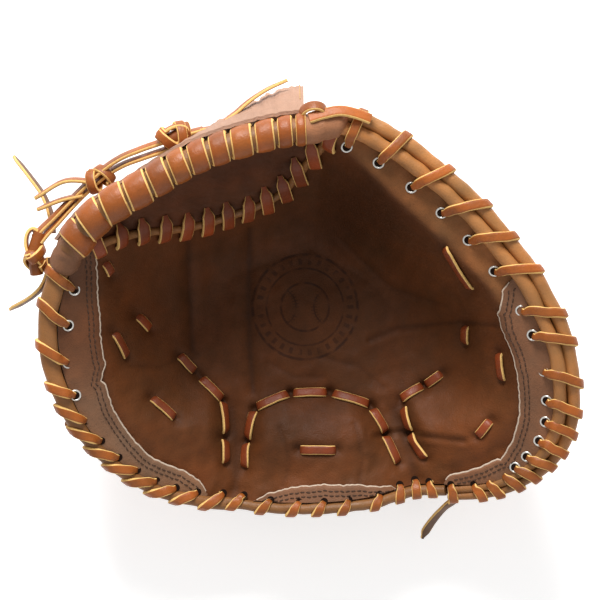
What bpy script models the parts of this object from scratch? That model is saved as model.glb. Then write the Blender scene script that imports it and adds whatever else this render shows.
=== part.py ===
"""Baseball catcher's mitt, open, lying on its back with the pocket up.

The world frame has +X towards the little finger, +Y towards the web and +Z out of
the pocket, with z = 0 on the surface that the back rests on. Sizes in the tables
are in millimetres; MM turns them into metres when a mesh or a curve is made.

Every layer of leather and padding is a height over the plan of the mitt. A point
of the plan is read in polar form about the pocket's centre: its azimuth in degrees
and its share of the rim's radius, 0 at the centre and 1 at the rim.
"""

import math

import bmesh
import bpy
import numpy as np
from mathutils import Matrix, Vector

MM = 0.001

# The pocket's centre in the world, in millimetres. It puts the origin under the
# middle of the mitt's box. All the plans below are measured from the pocket's centre.
POCKET_CENTRE = Vector((-0.7, 5.9, 0.0))

# ---------------------------------------------------------------- driving sizes

POCKET_FLOOR = 44.0          # height of the leather at the pocket's centre
LEATHER = 2.4                # thickness of a leather panel
LINING = 1.6                 # thickness of a lining
OVERLAY_LIFT = 1.6           # from the pocket leather's face up to an overlay
OVERLAY_TOP = 3.0            # from the pocket leather's face to an overlay's top
PAD_TOP_DEPTH = 6.0          # from the leather's face down to the padding
PAD_THIN = 6.0               # padding under the pocket's centre
PAD_THICK = 14.0             # padding under the wall and the heel
STIFFENER = 1.8              # thickness of a plastic stiffener
LAYER_GAP = 4.2              # clearance between padding and lining
STIFFENER_GAP = 1.8          # clearance between a stiffener and its back panel
WALL_POWER = 1.6             # how sharply the wall lifts from the floor
BACK_POWER = 1.5             # how sharply the back lifts from its flat
HEEL_RISE = 9.0              # crown of the three heel pads over the pocket leather
HEEL_LINE = -46.0            # the heel pads begin below this Y
LACE_WIDTH = 5.6
LACE_THICKNESS = 2.0
WELT_RADIUS = 3.5
ROLL_RADIUS = 6.5            # leather roll along the web's top
RIM_STACK = 8.0              # from the rim's centre line down to the back panels' edge
BACK_EDGE_OUT = 4.0          # how far the back panels' edge stands outside the rim line
LEATHER_EDGE_IN = 8.4        # how far the pocket leather's edge lies inside the rim line
PAD_EDGE_IN = 13.0           # how far the padding's edge lies inside the rim line
LINING_EDGE_IN = 32.0        # how far the lining's edge lies inside the rim line
HINGE_GAP = 3.0              # from a fold line to the parts beside it

# The two fold lines of the palm, each from the web's foot to the heel: (x, y).
THUMB_FOLD = ((-30.0, 52.0), (-40.0, -110.0))
FINGER_FOLD = ((-15.0, 52.0), (66.0, -102.0))

# Rim and walls, round the pocket's centre. Foot is where the wall leaves the floor,
# fold is the ridge between wall and band, share is the fold's part of the wall's
# height, flat is where the back leaves its flat, and bulge swells the back outwards.
STATIONS = (
    # azimuth, radius, height, foot, fold, share, flat, bulge
    (1, 126.0, 112, 0.36, 0.80, 0.92, 0.59, 3),
    (17, 109.0, 118, 0.34, 0.76, 0.90, 0.57, 3),
    (40, 97.0, 124, 0.30, 0.745, 0.90, 0.54, 3),
    (60, 95.0, 128, 0.30, 0.775, 0.91, 0.54, 3),
    (78, 96.0, 132, 0.30, 0.87, 0.96, 0.56, 4),
    (84, 92.8, 133.5, 0.31, 0.96, 0.99, 0.57, 14),
    (89, 90.0, 135, 0.30, 1.00, 1.00, 0.58, 36),
    (109, 89.0, 138, 0.30, 1.00, 1.00, 0.58, 28),
    (129, 94.5, 139, 0.30, 1.00, 1.00, 0.58, 17),
    (145, 103.5, 135, 0.32, 1.00, 1.00, 0.58, 9),
    (159, 119.5, 125, 0.34, 0.95, 0.97, 0.57, 3),
    (171, 130.0, 112, 0.36, 0.84, 0.90, 0.59, 3),
    (187, 138.5, 103, 0.38, 0.80, 0.88, 0.59, 3),
    (203, 139.5, 91, 0.40, 0.82, 0.88, 0.60, 3),
    (216, 136.5, 77, 0.42, 0.84, 0.90, 0.60, 3),
    (229, 131.5, 64, 0.42, 0.86, 0.92, 0.70, 3),
    (241, 124.0, 55, 0.42, 0.88, 0.94, 0.82, 2),
    (251, 118.0, 51.5, 0.42, 0.90, 0.95, 0.90, 2),
    (271, 114.0, 60, 0.42, 0.90, 0.95, 0.92, 2),
    (290, 117.5, 59, 0.42, 0.90, 0.95, 0.92, 2),
    (302, 123.0, 52, 0.42, 0.88, 0.94, 0.88, 2),
    (319, 149.0, 71, 0.42, 0.84, 0.90, 0.66, 3),
    (331, 156.0, 88, 0.42, 0.82, 0.88, 0.63, 3),
    (345, 145.0, 103, 0.40, 0.82, 0.90, 0.60, 3),
)
FIELDS = ("radius", "height", "foot", "fold", "share", "flat", "bulge")

# Seam between the web and the palm: azimuth and radius.
WEB_SEAM = ((80, 88.6), (87, 78), (101, 62), (113, 59), (125, 60.5), (146, 74), (157, 96),
            (163, 110.5), (168, 121.5))
WEB_SPAN = (88.0, 160.5)         # azimuths of the web's two ends
ROLL_SPAN = (83.0, 163.0)
FINGER_SPAN = (-53.0, 78.0)      # azimuths of the finger side's rim
THUMB_SPAN = (166.0, 245.5)
HEEL_SPAN = (255.0, 296.5)

# Pad lacing on the palm: (x, y) of each corner of a run.
HEEL_ARCH = ((-32, -92), (-30, -75), (-27, -61), (-9, -52), (13, -51), (34, -58), (42, -73), (48, -86))
THUMB_GROOVE = ((-73, -27), (-60, -41), (-48, -53), (-46, -72), (-45, -84))
FINGER_GROOVE = ((78, -38), (66, -46), (55, -56), (60, -71), (65, -81))
THUMB_TIES = (((-103, 19), (-99.5, 11)), ((-91, -8), (-83, -17)), ((-103, -18), (-97, -32)),
              ((-84, -53), (-71, -65)))
FINGER_TIES = (((89, -13), (89, -25)), ((106, -28), (109, -45)), ((94, -75), (101, -66)),
               ((74, 30), (92, 6)))
HEEL_TIE = ((-3, -83), (17, -83))

# Routes of the free lace ends: (x, y, z), chosen by hand.
WEB_TAIL = ((-55, 90.5, 123), (-47, 92.5, 123), (-38, 98.5, 121.5), (-29.5, 106, 119),
            (-20, 112.5, 116), (-9.5, 117.5, 113))
LEFT_UPPER_TAIL = ((-136, 37, 92), (-136.5, 43, 92), (-138, 50, 91), (-142, 58.5, 88),
                   (-148.5, 67, 83), (-154.5, 74, 76), (-160, 80, 68))
LEFT_LOWER_TAIL = ((-144.5, 13, 100), (-144, 7, 98), (-147, 2, 94), (-152.5, -1.5, 87),
                   (-158.5, -3.5, 78), (-163.5, -4.5, 68))
HEEL_TAIL = ((84, -111.5, 40), (80, -115, 36), (76.5, -119, 31), (73, -124, 26), (70, -129, 22),
             (67, -135, 19.5))
WEB_STRANDS = ((-79, 81, 119), (-87, 78, 117), (-97, 74, 114), (-107, 68, 111), (-117, 60, 108),
               (-127, 51, 106), (-135, 43, 105), (-139.5, 38.5, 105))

# Hinge axes of the two sides, in the leather over the fold lines: a point and a direction.
THUMB_AXIS = ((-35.0, -29.0, 51.0), (0.0616, 0.998, 0.0123))
FINGER_AXIS = ((25.5, -25.0, 51.0), (0.465, -0.885, -0.0115))
THUMB_PARTS = ("thumb_", "left_")          # how the names of the pieces that fold begin
FINGER_PARTS = ("finger_", "index_", "middle_", "ring_", "little_", "heel_tail")

# Wrist side, measured along Y.
BACK_PANEL_SPAN = (-98.0, 46.0)
BACK_OPENING = (-62.0, -26.0)
STRAP_SPAN = (-97.0, -66.0)
STRAP_THICKNESS = 3.0

COLOURS = {
    "tan leather": ((0.24, 0.13, 0.07), 0.55, 0.0),
    "dark leather": ((0.16, 0.085, 0.045), 0.6, 0.0),
    "pale leather": ((0.55, 0.36, 0.26), 0.6, 0.0),
    "lace": ((0.46, 0.22, 0.08), 0.5, 0.0),
    "felt": ((0.62, 0.58, 0.50), 0.95, 0.0),
    "lining": ((0.50, 0.33, 0.20), 0.8, 0.0),
    "plastic": ((0.06, 0.06, 0.07), 0.5, 0.0),
}


# ---------------------------------------------------------------- the mitt's form

def dense_stations(count=720):
    """The table's columns at even azimuths, by a periodic cubic through its rows."""
    table = np.array(STATIONS, dtype=float)
    rows = len(table)
    wrapped = np.vstack([table[-2:], table, table[:2]])
    wrapped[:2, 0] -= 360
    wrapped[-2:, 0] += 360
    angles = np.arange(count) * 360.0 / count
    columns = np.empty((count, table.shape[1]))
    for k, angle in enumerate(angles):
        i = int(np.searchsorted(wrapped[1:rows + 3, 0], angle, side="right"))
        a, b, c, d = wrapped[i - 1], wrapped[i], wrapped[i + 1], wrapped[i + 2]
        span = c[0] - b[0]
        t = (angle - b[0]) / span
        m1 = (c - a) / (c[0] - a[0]) * span
        m2 = (d - b) / (d[0] - b[0]) * span
        columns[k] = ((2 * t**3 - 3 * t**2 + 1) * b + (t**3 - 2 * t**2 + t) * m1
                      + (3 * t**2 - 2 * t**3) * c + (t**3 - t**2) * m2)
    return angles, columns


DENSE_ANGLES, DENSE_COLUMNS = dense_stations()


def station(azimuth):
    """The table's values at an azimuth, by name."""
    values = [np.interp(azimuth % 360, DENSE_ANGLES, DENSE_COLUMNS[:, k + 1], period=360)
              for k in range(len(FIELDS))]
    return dict(zip(FIELDS, values))


def smooth(t):
    """0 below 0, 1 above 1, and a smooth step between."""
    t = min(max(t, 0.0), 1.0)
    return t * t * (3 - 2 * t)


def polar(x, y):
    """Station values and share of the rim's radius at a point of the plan."""
    values = station(math.degrees(math.atan2(y, x)))
    return values, math.hypot(x, y) / values["radius"]


def plan(azimuth, radius):
    """Point of the plan at an azimuth in degrees."""
    angle = math.radians(azimuth)
    return radius * math.cos(angle), radius * math.sin(angle)


def rim_normal(azimuth):
    """Outward unit normal of the rim in plan."""
    before = Vector(plan(azimuth - 1.5, station(azimuth - 1.5)["radius"]))
    after = Vector(plan(azimuth + 1.5, station(azimuth + 1.5)["radius"]))
    along = (after - before).normalized()
    return Vector((along.y, -along.x))


def inset_radius(azimuth, inset):
    """Radius of a line that runs an inset inside the rim, measured square to the rim."""
    slant = rim_normal(azimuth).dot(Vector(plan(azimuth, 1.0)))
    return station(azimuth)["radius"] - inset / slant


def fold_distance(x, y):
    """Distance from a point of the plan to the nearer fold line."""
    distances = []
    for (x0, y0), (x1, y1) in (THUMB_FOLD, FINGER_FOLD):
        length = math.hypot(x1 - x0, y1 - y0)
        distances.append(abs((x - x0) * (y1 - y0) - (y - y0) * (x1 - x0)) / length)
    return min(distances)


def base_height(x, y):
    """Height of the pocket before its heel pads are raised."""
    values, share = polar(x, y)
    lift = max(share - values["foot"], 0.0) / max(values["fold"] - values["foot"], 0.01)
    wall = values["share"] * lift**WALL_POWER
    band = 1 - (1 - values["share"]) * (1 - share) / max(1 - values["fold"], 0.01)
    blend = max(0.06 - abs(wall - band), 0.0) / 0.06
    rise = min(wall, band, 1.0) - blend * blend * 0.015
    return POCKET_FLOOR + (values["height"] - 1.0 - POCKET_FLOOR) * rise


def face_height(x, y):
    """Height of the pocket leather's upper face, heel pads included."""
    _, share = polar(x, y)
    groove = smooth((fold_distance(x, y) - 2.0) / 16.0)
    heel = smooth((HEEL_LINE - y) / 26.0)
    edge = smooth((0.91 - share) / 0.25)
    return base_height(x, y) + HEEL_RISE * groove * heel * edge


def steepness(height, x, y):
    """Ratio of a layer's upright thickness to its true thickness, at most 2.8."""
    step = 0.6
    slope_x = (height(x + step, y) - height(x - step, y)) / (2 * step)
    slope_y = (height(x, y + step) - height(x, y - step)) / (2 * step)
    return min(math.sqrt(1 + slope_x**2 + slope_y**2), 2.8)


def below_face(x, y, depth):
    """Height of a layer that lies a depth under the pocket leather's face."""
    return face_height(x, y) - depth * steepness(face_height, x, y)


def pad_depth(x, y):
    """Depth of the padding's underside, under the unraised pocket."""
    _, share = polar(x, y)
    return PAD_TOP_DEPTH + PAD_THIN + (PAD_THICK - PAD_THIN) * smooth((share - 0.35) / 0.4)


def below_pad(x, y, extra):
    """Height of a layer that lies under the padding."""
    return base_height(x, y) - (pad_depth(x, y) + extra) * min(steepness(base_height, x, y), 2.0)


def back_section(values, share):
    """Radius and height of the back's outer face at a share of the rim's radius."""
    lift = max(share - values["flat"], 0.0) / (1 - values["flat"])
    outer = max(share - 0.5, 0.0) / 0.5
    swell = (BACK_EDGE_OUT * outer**2
             + (values["bulge"] - 3.0) * math.sin(math.pi * min(outer, 1.0)**2))
    return values["radius"] * share + swell, (values["height"] - RIM_STACK) * lift**BACK_POWER


def back_point(x, y, inset):
    """Point of the back over a point of the plan, inset square to its outer face."""
    values, share = polar(x, y)
    radius, height = back_section(values, share)
    low = back_section(values, share - 0.01)
    high = back_section(values, share + 0.01)
    run, rise = high[0] - low[0], high[1] - low[1]
    length = math.hypot(run, rise)
    radius -= inset * rise / length
    height += inset * run / length
    angle = math.atan2(y, x)
    return Vector((radius * math.cos(angle), radius * math.sin(angle), height))


# ---------------------------------------------------------------- scene and materials

def clear_scene():
    """Remove every object of the start-up scene."""
    for item in list(bpy.data.objects):
        bpy.data.objects.remove(item, do_unlink=True)


def make_collection(name):
    """A new collection in the scene."""
    collection = bpy.data.collections.new(name)
    bpy.context.scene.collection.children.link(collection)
    return collection


def dress(item, look, collection):
    """Give an object its own Principled material and put it in its collection."""
    colour, roughness, metallic = COLOURS[look]
    material = bpy.data.materials.new(item.name + "_material")
    material.use_nodes = True
    shader = material.node_tree.nodes["Principled BSDF"]
    shader.inputs["Base Color"].default_value = (*colour, 1.0)
    shader.inputs["Roughness"].default_value = roughness
    shader.inputs["Metallic"].default_value = metallic
    item.data.materials.append(material)
    collection.objects.link(item)
    return item


def to_world(point):
    """A point in millimetres from the pocket's centre, as metres in the world."""
    return (Vector(point) + POCKET_CENTRE) * MM


def mesh_object(name, points, faces, look, collection):
    """A closed mesh from points in millimetres, its faces turned outwards."""
    mesh = bpy.data.meshes.new(name)
    mesh.from_pydata([to_world(p) for p in points], [], faces)
    solid = bmesh.new()
    solid.from_mesh(mesh)
    bmesh.ops.recalc_face_normals(solid, faces=solid.faces)
    solid.to_mesh(mesh)
    solid.free()
    mesh.shade_smooth()
    mesh.set_sharp_from_angle(angle=math.radians(40))
    return dress(bpy.data.objects.new(name, mesh), look, collection)


# ---------------------------------------------------------------- shape makers

def patch_solid(name, upper, lower, cells, look, collection):
    """Closed solid between two patches, each a function of (u, v) that gives a point."""
    across, along = cells
    points = []
    for side in (upper, lower):
        points += [side(i / across, j / along) for j in range(along + 1) for i in range(across + 1)]
    row = across + 1
    half = row * (along + 1)
    faces = []
    for j in range(along):
        for i in range(across):
            a = j * row + i
            faces.append((a, a + 1, a + row + 1, a + row))
            faces.append((a + half, a + row + half, a + row + 1 + half, a + 1 + half))
    edge = [i for i in range(row)]
    edge += [j * row + across for j in range(1, along + 1)]
    edge += [along * row + i for i in range(across - 1, -1, -1)]
    edge += [j * row for j in range(along - 1, 0, -1)]
    for k, a in enumerate(edge):
        b = edge[(k + 1) % len(edge)]
        faces.append((b, a, a + half, b + half))
    return mesh_object(name, points, faces, look, collection)


def sector(fold, fold_ends, azimuths, rim_inset):
    """Plan patch from a fold line (u = 0) to the rim (u = 1), as a function of (u, v)."""
    (x0, y0), (x1, y1) = fold

    def place(u, v):
        along = fold_ends[0] + (fold_ends[1] - fold_ends[0]) * v
        azimuth = azimuths[0] + (azimuths[1] - azimuths[0]) * v
        outer = plan(azimuth, inset_radius(azimuth, rim_inset))
        inner = (x0 + (x1 - x0) * along, y0 + (y1 - y0) * along)
        return inner[0] + (outer[0] - inner[0]) * u, inner[1] + (outer[1] - inner[1]) * u
    return place


def shifted(fold, distance):
    """A fold line moved along X."""
    return tuple((x + distance, y) for x, y in fold)


def between_folds(top, bottom, gap):
    """Plan patch of the palm between the fold lines, from one Y to another."""
    def fold_x(fold, y):
        (x0, y0), (x1, y1) = fold
        return x0 + (x1 - x0) * (y - y0) / (y1 - y0)

    def place(u, v):
        y = top + (bottom - top) * v
        left = fold_x(THUMB_FOLD, y) + gap
        right = fold_x(FINGER_FOLD, y) - gap
        return left + (right - left) * u, y
    return place


def height_solid(name, place, upper, lower, cells, look, collection):
    """Closed solid between two heights over a plan patch."""
    def lift(height):
        def point(u, v):
            x, y = place(u, v)
            return (x, y, height(x, y))
        return point
    return patch_solid(name, lift(upper), lift(lower), cells, look, collection)


def back_solid(name, place, cells, look, collection, insets=(0.0, LEATHER)):
    """Layer of the back over a plan patch, between two insets from its outer face."""
    outer, inner = insets
    return patch_solid(name, lambda u, v: back_point(*place(u, v), inner),
                       lambda u, v: back_point(*place(u, v), outer), cells, look, collection)


def tube(name, points, radius, look, collection, resolution=2):
    """Round tube with filled caps along points in millimetres."""
    curve = bpy.data.curves.new(name, "CURVE")
    curve.dimensions = "3D"
    curve.bevel_depth = radius * MM
    curve.bevel_resolution = resolution
    curve.use_fill_caps = True
    spline = curve.splines.new("POLY")
    spline.points.add(len(points) - 1)
    for target, point in zip(spline.points, points):
        target.co = (*to_world(point), 1.0)
    return dress(bpy.data.objects.new(name, curve), look, collection)


def smooth_route(points, spacing):
    """Points about a spacing apart on a smooth curve through a route's points."""
    route = [Vector(p) for p in points]
    route = [2 * route[0] - route[1]] + route + [2 * route[-1] - route[-2]]
    result = [route[1]]
    for a, b, c, d in zip(route, route[1:], route[2:], route[3:]):
        steps = max(1, round((c - b).length / spacing))
        for k in range(1, steps + 1):
            t = k / steps
            result.append(0.5 * (2 * b + (c - a) * t + (2 * a - 5 * b + 4 * c - d) * t * t
                                 + (3 * b - a - 3 * c + d) * t**3))
    return result


def ribbon(name, points, normals, look, collection, width=LACE_WIDTH, thickness=LACE_THICKNESS):
    """Flat lace along points, lying square to the normals."""
    corners = []
    last = len(points) - 1
    for k, (point, normal) in enumerate(zip(points, normals)):
        before = Vector(points[max(k - 1, 0)])
        after = Vector(points[min(k + 1, last)])
        here = Vector(point)
        tangent = (after - before).normalized()
        side = tangent.cross(Vector(normal)).normalized()
        up = side.cross(tangent).normalized()
        lead = (here - before).normalized() if k else tangent
        mitre = 1 / max(abs(lead.dot(tangent)), 0.72)
        wide = side * (width / 2) * min(mitre, 1.3)
        thick = up * (thickness / 2)
        corners += [here + wide + thick, here - wide + thick, here - wide - thick, here + wide - thick]
    faces = [(0, 1, 2, 3), tuple(4 * last + i for i in (3, 2, 1, 0))]
    for k in range(last):
        for i in range(4):
            a, b = 4 * k + i, 4 * k + (i + 1) % 4
            faces.append((a, a + 4, b + 4, b))
    return mesh_object(name, corners, faces, look, collection)


def rim_point(azimuth, outwards, upwards):
    """Point beside the rim's centre line, its offset square to the rim."""
    values = station(azimuth)
    x, y = plan(azimuth, values["radius"])
    normal = rim_normal(azimuth)
    return (x + normal.x * outwards, y + normal.y * outwards, values["height"] + upwards)


def spread(start, end, count):
    """Even values from start to end."""
    return [start + (end - start) * k / (count - 1) for k in range(count)]


# ---------------------------------------------------------------- pocket and padding

def web_seam_radius(azimuth):
    """Radius of the seam between web and palm."""
    return np.interp(azimuth, [a for a, _ in WEB_SEAM], [r for _, r in WEB_SEAM])


def leather_edge(azimuth):
    """Radius of the pocket leather's outer edge."""
    if WEB_SEAM[0][0] < azimuth < WEB_SEAM[-1][0]:
        return web_seam_radius(azimuth) - 1.4
    return inset_radius(azimuth, LEATHER_EDGE_IN)


def make_palm_leather(collection):
    """The pocket's face: one hide from rim to rim, cut away at the web."""
    shares = (0.16, 0.3, 0.4, 0.5, 0.6, 0.69, 0.77, 0.84, 0.91, 1.0)
    turns = 52
    rings = []
    for depth in (0.0, LEATHER):
        for share in shares:
            for k in range(turns):
                azimuth = 360.0 * k / turns
                x, y = plan(azimuth, leather_edge(azimuth) * share)
                rings.append((x, y, below_face(x, y, depth)))
    half = len(shares) * turns
    points = rings + [(0, 0, face_height(0, 0)), (0, 0, face_height(0, 0) - LEATHER)]
    faces = []
    for k in range(turns):
        n = (k + 1) % turns
        faces.append((2 * half, k, n))
        faces.append((2 * half + 1, half + n, half + k))
        last = (len(shares) - 1) * turns
        faces.append((last + n, last + k, half + last + k, half + last + n))
        for j in range(len(shares) - 1):
            a, b = j * turns + k, j * turns + n
            faces.append((a, a + turns, b + turns, b))
            faces.append((half + a, half + b, half + b + turns, half + a + turns))
    return mesh_object("palm_leather", points, faces, "dark leather", collection)


def pad_top(x, y):
    """Height of the padding's upper face."""
    return below_face(x, y, PAD_TOP_DEPTH)


def pad_bottom(x, y):
    """Height of the padding's underside."""
    return below_pad(x, y, 0.0)


def lining_top(x, y):
    """Height of the lining's upper face."""
    return below_pad(x, y, LAYER_GAP)


def lining_bottom(x, y):
    """Height of the lining's underside."""
    return below_pad(x, y, LAYER_GAP + LINING)


def make_pads(collection):
    """Felt padding and lining, in the sectors that fold against each other."""
    thumb = sector(shifted(THUMB_FOLD, -HINGE_GAP), (0.17, 0.88), (166, 240), PAD_EDGE_IN)
    fingers = sector(shifted(FINGER_FOLD, HINGE_GAP), (0.10, 0.90), (82, -51), PAD_EDGE_IN)
    palm = between_folds(26, -47, HINGE_GAP)
    heel = between_folds(-50, -95, HINGE_GAP)
    for name, place, cells in (("thumb_pad", thumb, (9, 10)), ("finger_pad", fingers, (9, 16)),
                               ("palm_pad", palm, (4, 7)), ("heel_pad", heel, (8, 5))):
        height_solid(name, place, pad_top, pad_bottom, cells, "felt", collection)
    thumb = sector(shifted(THUMB_FOLD, -HINGE_GAP), (0.19, 0.88), (169, 239), LINING_EDGE_IN)
    fingers = sector(shifted(FINGER_FOLD, HINGE_GAP), (0.11, 0.90), (80, -51), LINING_EDGE_IN)
    for name, place, cells in (("thumb_lining", thumb, (8, 10)), ("finger_lining", fingers, (8, 15)),
                               ("palm_lining", between_folds(26, -95, HINGE_GAP), (4, 9))):
        height_solid(name, place, lining_top, lining_bottom, cells, "lining", collection)


def make_overlays(collection):
    """Leather overlays stitched along the rim, over the pocket leather."""
    spans = (("thumb_overlay", 172, 241, 23, 18), ("heel_overlay", 258, 294, 14, 10),
             ("finger_overlay", 5, -50, 19, 18))
    for name, start, end, width, cells in spans:
        def place(u, v, start=start, end=end, width=width):
            azimuth = start + (end - start) * v
            taper = math.sin(math.pi * (0.12 + 0.76 * v))**0.5
            return plan(azimuth, inset_radius(azimuth, LEATHER_EDGE_IN + width * taper * (1 - u)))
        height_solid(name, place, lambda x, y: below_face(x, y, -OVERLAY_TOP),
                     lambda x, y: below_face(x, y, -OVERLAY_LIFT), (3, cells), "tan leather", collection)


# ---------------------------------------------------------------- rim

def make_welts(collection):
    """The rolled leather edges round the rim."""
    start, end = FINGER_SPAN
    angles = spread(start, end, 30)
    for name, outwards, upwards in (("finger_inner_welt", -3.8, 0.0), ("finger_outer_welt", 3.8, -0.8)):
        tube(name, [rim_point(a, outwards, upwards) for a in angles], WELT_RADIUS, "tan leather",
             collection, 1)
    angles = spread(*HEEL_SPAN, 10)
    tube("heel_welt", [rim_point(a, -1.0, 0.0) for a in angles], 4.2, "tan leather", collection, 1)
    angles = spread(*THUMB_SPAN, 20)
    ribbon("thumb_edge_strip", [rim_point(a, 0.0, 0.5) for a in angles], [(0, 0, 1)] * 20,
           "tan leather", collection, width=12.5, thickness=5.0)


# One crossing of the rim: outwards and upwards from its centre line, and the lace's tilt.
WRAP_SECTION = ((-12.0, 4.0, 95), (-7.6, 6.6, 110), (0.0, 6.9, 85), (7.8, 5.0, 50),
                (10.0, 0.0, 10), (10.0, -4.5, 0))


def make_edge_lace(name, azimuths, collection):
    """One lace that crosses the rim at each azimuth, to and fro."""
    points = []
    normals = []
    for k, azimuth in enumerate(azimuths):
        section = WRAP_SECTION if k % 2 else WRAP_SECTION[::-1]
        for outwards, upwards, tilt in section:
            x, y, z = rim_point(azimuth, outwards, upwards)
            if outwards < -LEATHER_EDGE_IN:
                z = max(z, below_face(x, y, -OVERLAY_TOP - 2.6))
            points.append((x, y, z))
            flat = rim_normal(azimuth) * math.cos(math.radians(tilt))
            normals.append((flat.x, flat.y, math.sin(math.radians(tilt))))
    ribbon(name, points, normals, "lace", collection)


def even_crossings(start, end, pitch):
    """Azimuths of lace crossings about a pitch apart along the rim."""
    step = 0.5 if end > start else -0.5
    count = int(abs(end - start) / 0.5) + 1
    angles = [start + step * k for k in range(count)]
    line = [Vector(rim_point(a, 0, 0)) for a in angles]
    travelled = [0.0]
    for a, b in zip(line, line[1:]):
        travelled.append(travelled[-1] + (b - a).length)
    crossings = round(travelled[-1] / pitch) + 1
    targets = spread(0.0, travelled[-1], crossings)
    return [float(np.interp(t, travelled, angles)) for t in targets]


def make_edge_laces(collection):
    """Rim lacing in the three lengths that fold against each other."""
    make_edge_lace("finger_edge_lace", even_crossings(FINGER_SPAN[1] - 2, FINGER_SPAN[0] + 2, 17.5),
                   collection)
    make_edge_lace("thumb_edge_lace", even_crossings(THUMB_SPAN[0] + 11, THUMB_SPAN[1] - 2, 14.5),
                   collection)
    make_edge_lace("heel_edge_lace", even_crossings(HEEL_SPAN[0] + 2, HEEL_SPAN[1] - 2, 14.0),
                   collection)


# ---------------------------------------------------------------- web

def make_web(collection):
    """The web's two leathers, its top roll, the roll's binding and its seam lacing."""
    start, end = WEB_SPAN

    def front(u, v):
        azimuth = start + (end - start) * v
        inner = web_seam_radius(azimuth) + 1.4
        outer = inset_radius(azimuth, 5.6)
        return plan(azimuth, inner + (outer - inner) * u)

    def back(u, v):
        azimuth = start + (end - start) * v
        radius = station(azimuth)["radius"]
        return plan(azimuth, radius * (0.70 + 0.29 * u))

    height_solid("web_front_panel", front, face_height, lambda x, y: below_face(x, y, LEATHER),
                 (6, 18), "dark leather", collection)
    back_solid("web_back_panel", back, (7, 16), "pale leather", collection)
    angles = spread(*ROLL_SPAN, 18)
    tube("web_top_roll", [rim_point(a, 0, 0) for a in angles], ROLL_RADIUS, "tan leather", collection)
    make_web_binding(collection)
    make_seam_lace(collection)


def make_web_binding(collection):
    """The wide lace wound round the web's top roll."""
    turns = 12
    steps = 8
    start, end = 93.0, 157.5
    points = []
    normals = []
    for k in range(turns * steps + 1):
        azimuth = start + (end - start) * k / (turns * steps)
        angle = 2 * math.pi * k / steps
        reach = ROLL_RADIUS + 2.6
        points.append(rim_point(azimuth, reach * math.cos(angle), reach * math.sin(angle)))
        flat = rim_normal(azimuth) * math.cos(angle)
        normals.append((flat.x, flat.y, math.sin(angle)))
    ribbon("web_binding_lace", points, normals, "lace", collection, width=7.4, thickness=1.4)


def make_seam_lace(collection):
    """Lace that crosses the seam between web and palm, to and fro."""
    points = []
    normals = []
    crossings = 17
    for k in range(crossings):
        azimuth = 92.0 + (157.0 - 92.0) * k / (crossings - 1)
        seam = web_seam_radius(azimuth)
        reaches = (-4.5, 0.0, 4.5) if k % 2 else (4.5, 0.0, -4.5)
        for reach in reaches:
            x, y = plan(azimuth, seam + reach)
            lift = face_height(x, y) + 2.6 * steepness(face_height, x, y)
            points.append((x, y, lift))
            normals.append(surface_normal(x, y))
    ribbon("web_seam_lace", points, normals, "lace", collection, width=4.2, thickness=1.6)


def surface_normal(x, y):
    """Unit normal of the pocket's face."""
    step = 0.8
    slope_x = (face_height(x + step, y) - face_height(x - step, y)) / (2 * step)
    slope_y = (face_height(x, y + step) - face_height(x, y - step)) / (2 * step)
    return tuple(Vector((-slope_x, -slope_y, 1.0)).normalized())


# ---------------------------------------------------------------- pad lacing

def make_surface_lace(name, corners, collection, lift=3.4):
    """Flat lace laid on the pocket's face through the corners of a run."""
    route = []
    for (x0, y0), (x1, y1) in zip(corners, corners[1:]):
        steps = max(1, round(math.hypot(x1 - x0, y1 - y0) / 9.0))
        route += [(x0 + (x1 - x0) * k / steps, y0 + (y1 - y0) * k / steps) for k in range(steps)]
    route.append(corners[-1])
    points = [(x, y, below_face(x, y, -lift)) for x, y in route]
    normals = [surface_normal(x, y) for x, y in route]
    ribbon(name, points, normals, "lace", collection, width=4.8, thickness=1.6)


def make_pad_laces(collection):
    """The laces that hold the padding to the pocket leather."""
    make_surface_lace("heel_arch_lace", HEEL_ARCH, collection)
    make_surface_lace("heel_tie_lace", HEEL_TIE, collection)
    make_surface_lace("thumb_groove_lace", THUMB_GROOVE, collection)
    make_surface_lace("finger_groove_lace", FINGER_GROOVE, collection)
    for prefix, ties in (("thumb_tie_lace", THUMB_TIES), ("finger_tie_lace", FINGER_TIES)):
        for k, tie in enumerate(ties):
            make_surface_lace(f"{prefix}_{k + 1}", tie, collection)


# ---------------------------------------------------------------- back and wrist

def make_back(collection):
    """Back panels: one for the thumb, four finger stalls, and the centre by the wrist."""
    thumb = sector(shifted(THUMB_FOLD, -HINGE_GAP), (0.18, 0.78), (166, 237), 0.0)
    back_solid("thumb_back_panel", thumb, (9, 10), "tan leather", collection)
    fingers = sector(shifted(FINGER_FOLD, HINGE_GAP), (0.08, 0.80), (77, -50), 0.0)
    for k, name in enumerate(("index", "middle", "ring", "little")):
        def place(u, v, k=k):
            return fingers(u, (k + 0.015 + 0.97 * v) / 4)
        back_solid(name + "_back_panel", place, (9, 4), "tan leather", collection)
    make_stall_walls(fingers, collection)
    make_stiffeners(collection)


def make_stiffeners(collection):
    """Plastic plates that shield the thumb and the little finger, inside their back panels."""
    first = LEATHER + STIFFENER_GAP
    for name, azimuths, shares in (("thumb_stiffener", (178, 222), (0.64, 0.86)),
                                   ("finger_stiffener", (-27, -43), (0.74, 0.89))):
        def place(u, v, azimuths=azimuths, shares=shares):
            azimuth = azimuths[0] + (azimuths[1] - azimuths[0]) * v
            share = shares[0] + (shares[1] - shares[0]) * u
            return plan(azimuth, station(azimuth)["radius"] * share)
        back_solid(name, place, (4, 7), "plastic", collection, (first, first + STIFFENER))


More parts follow.
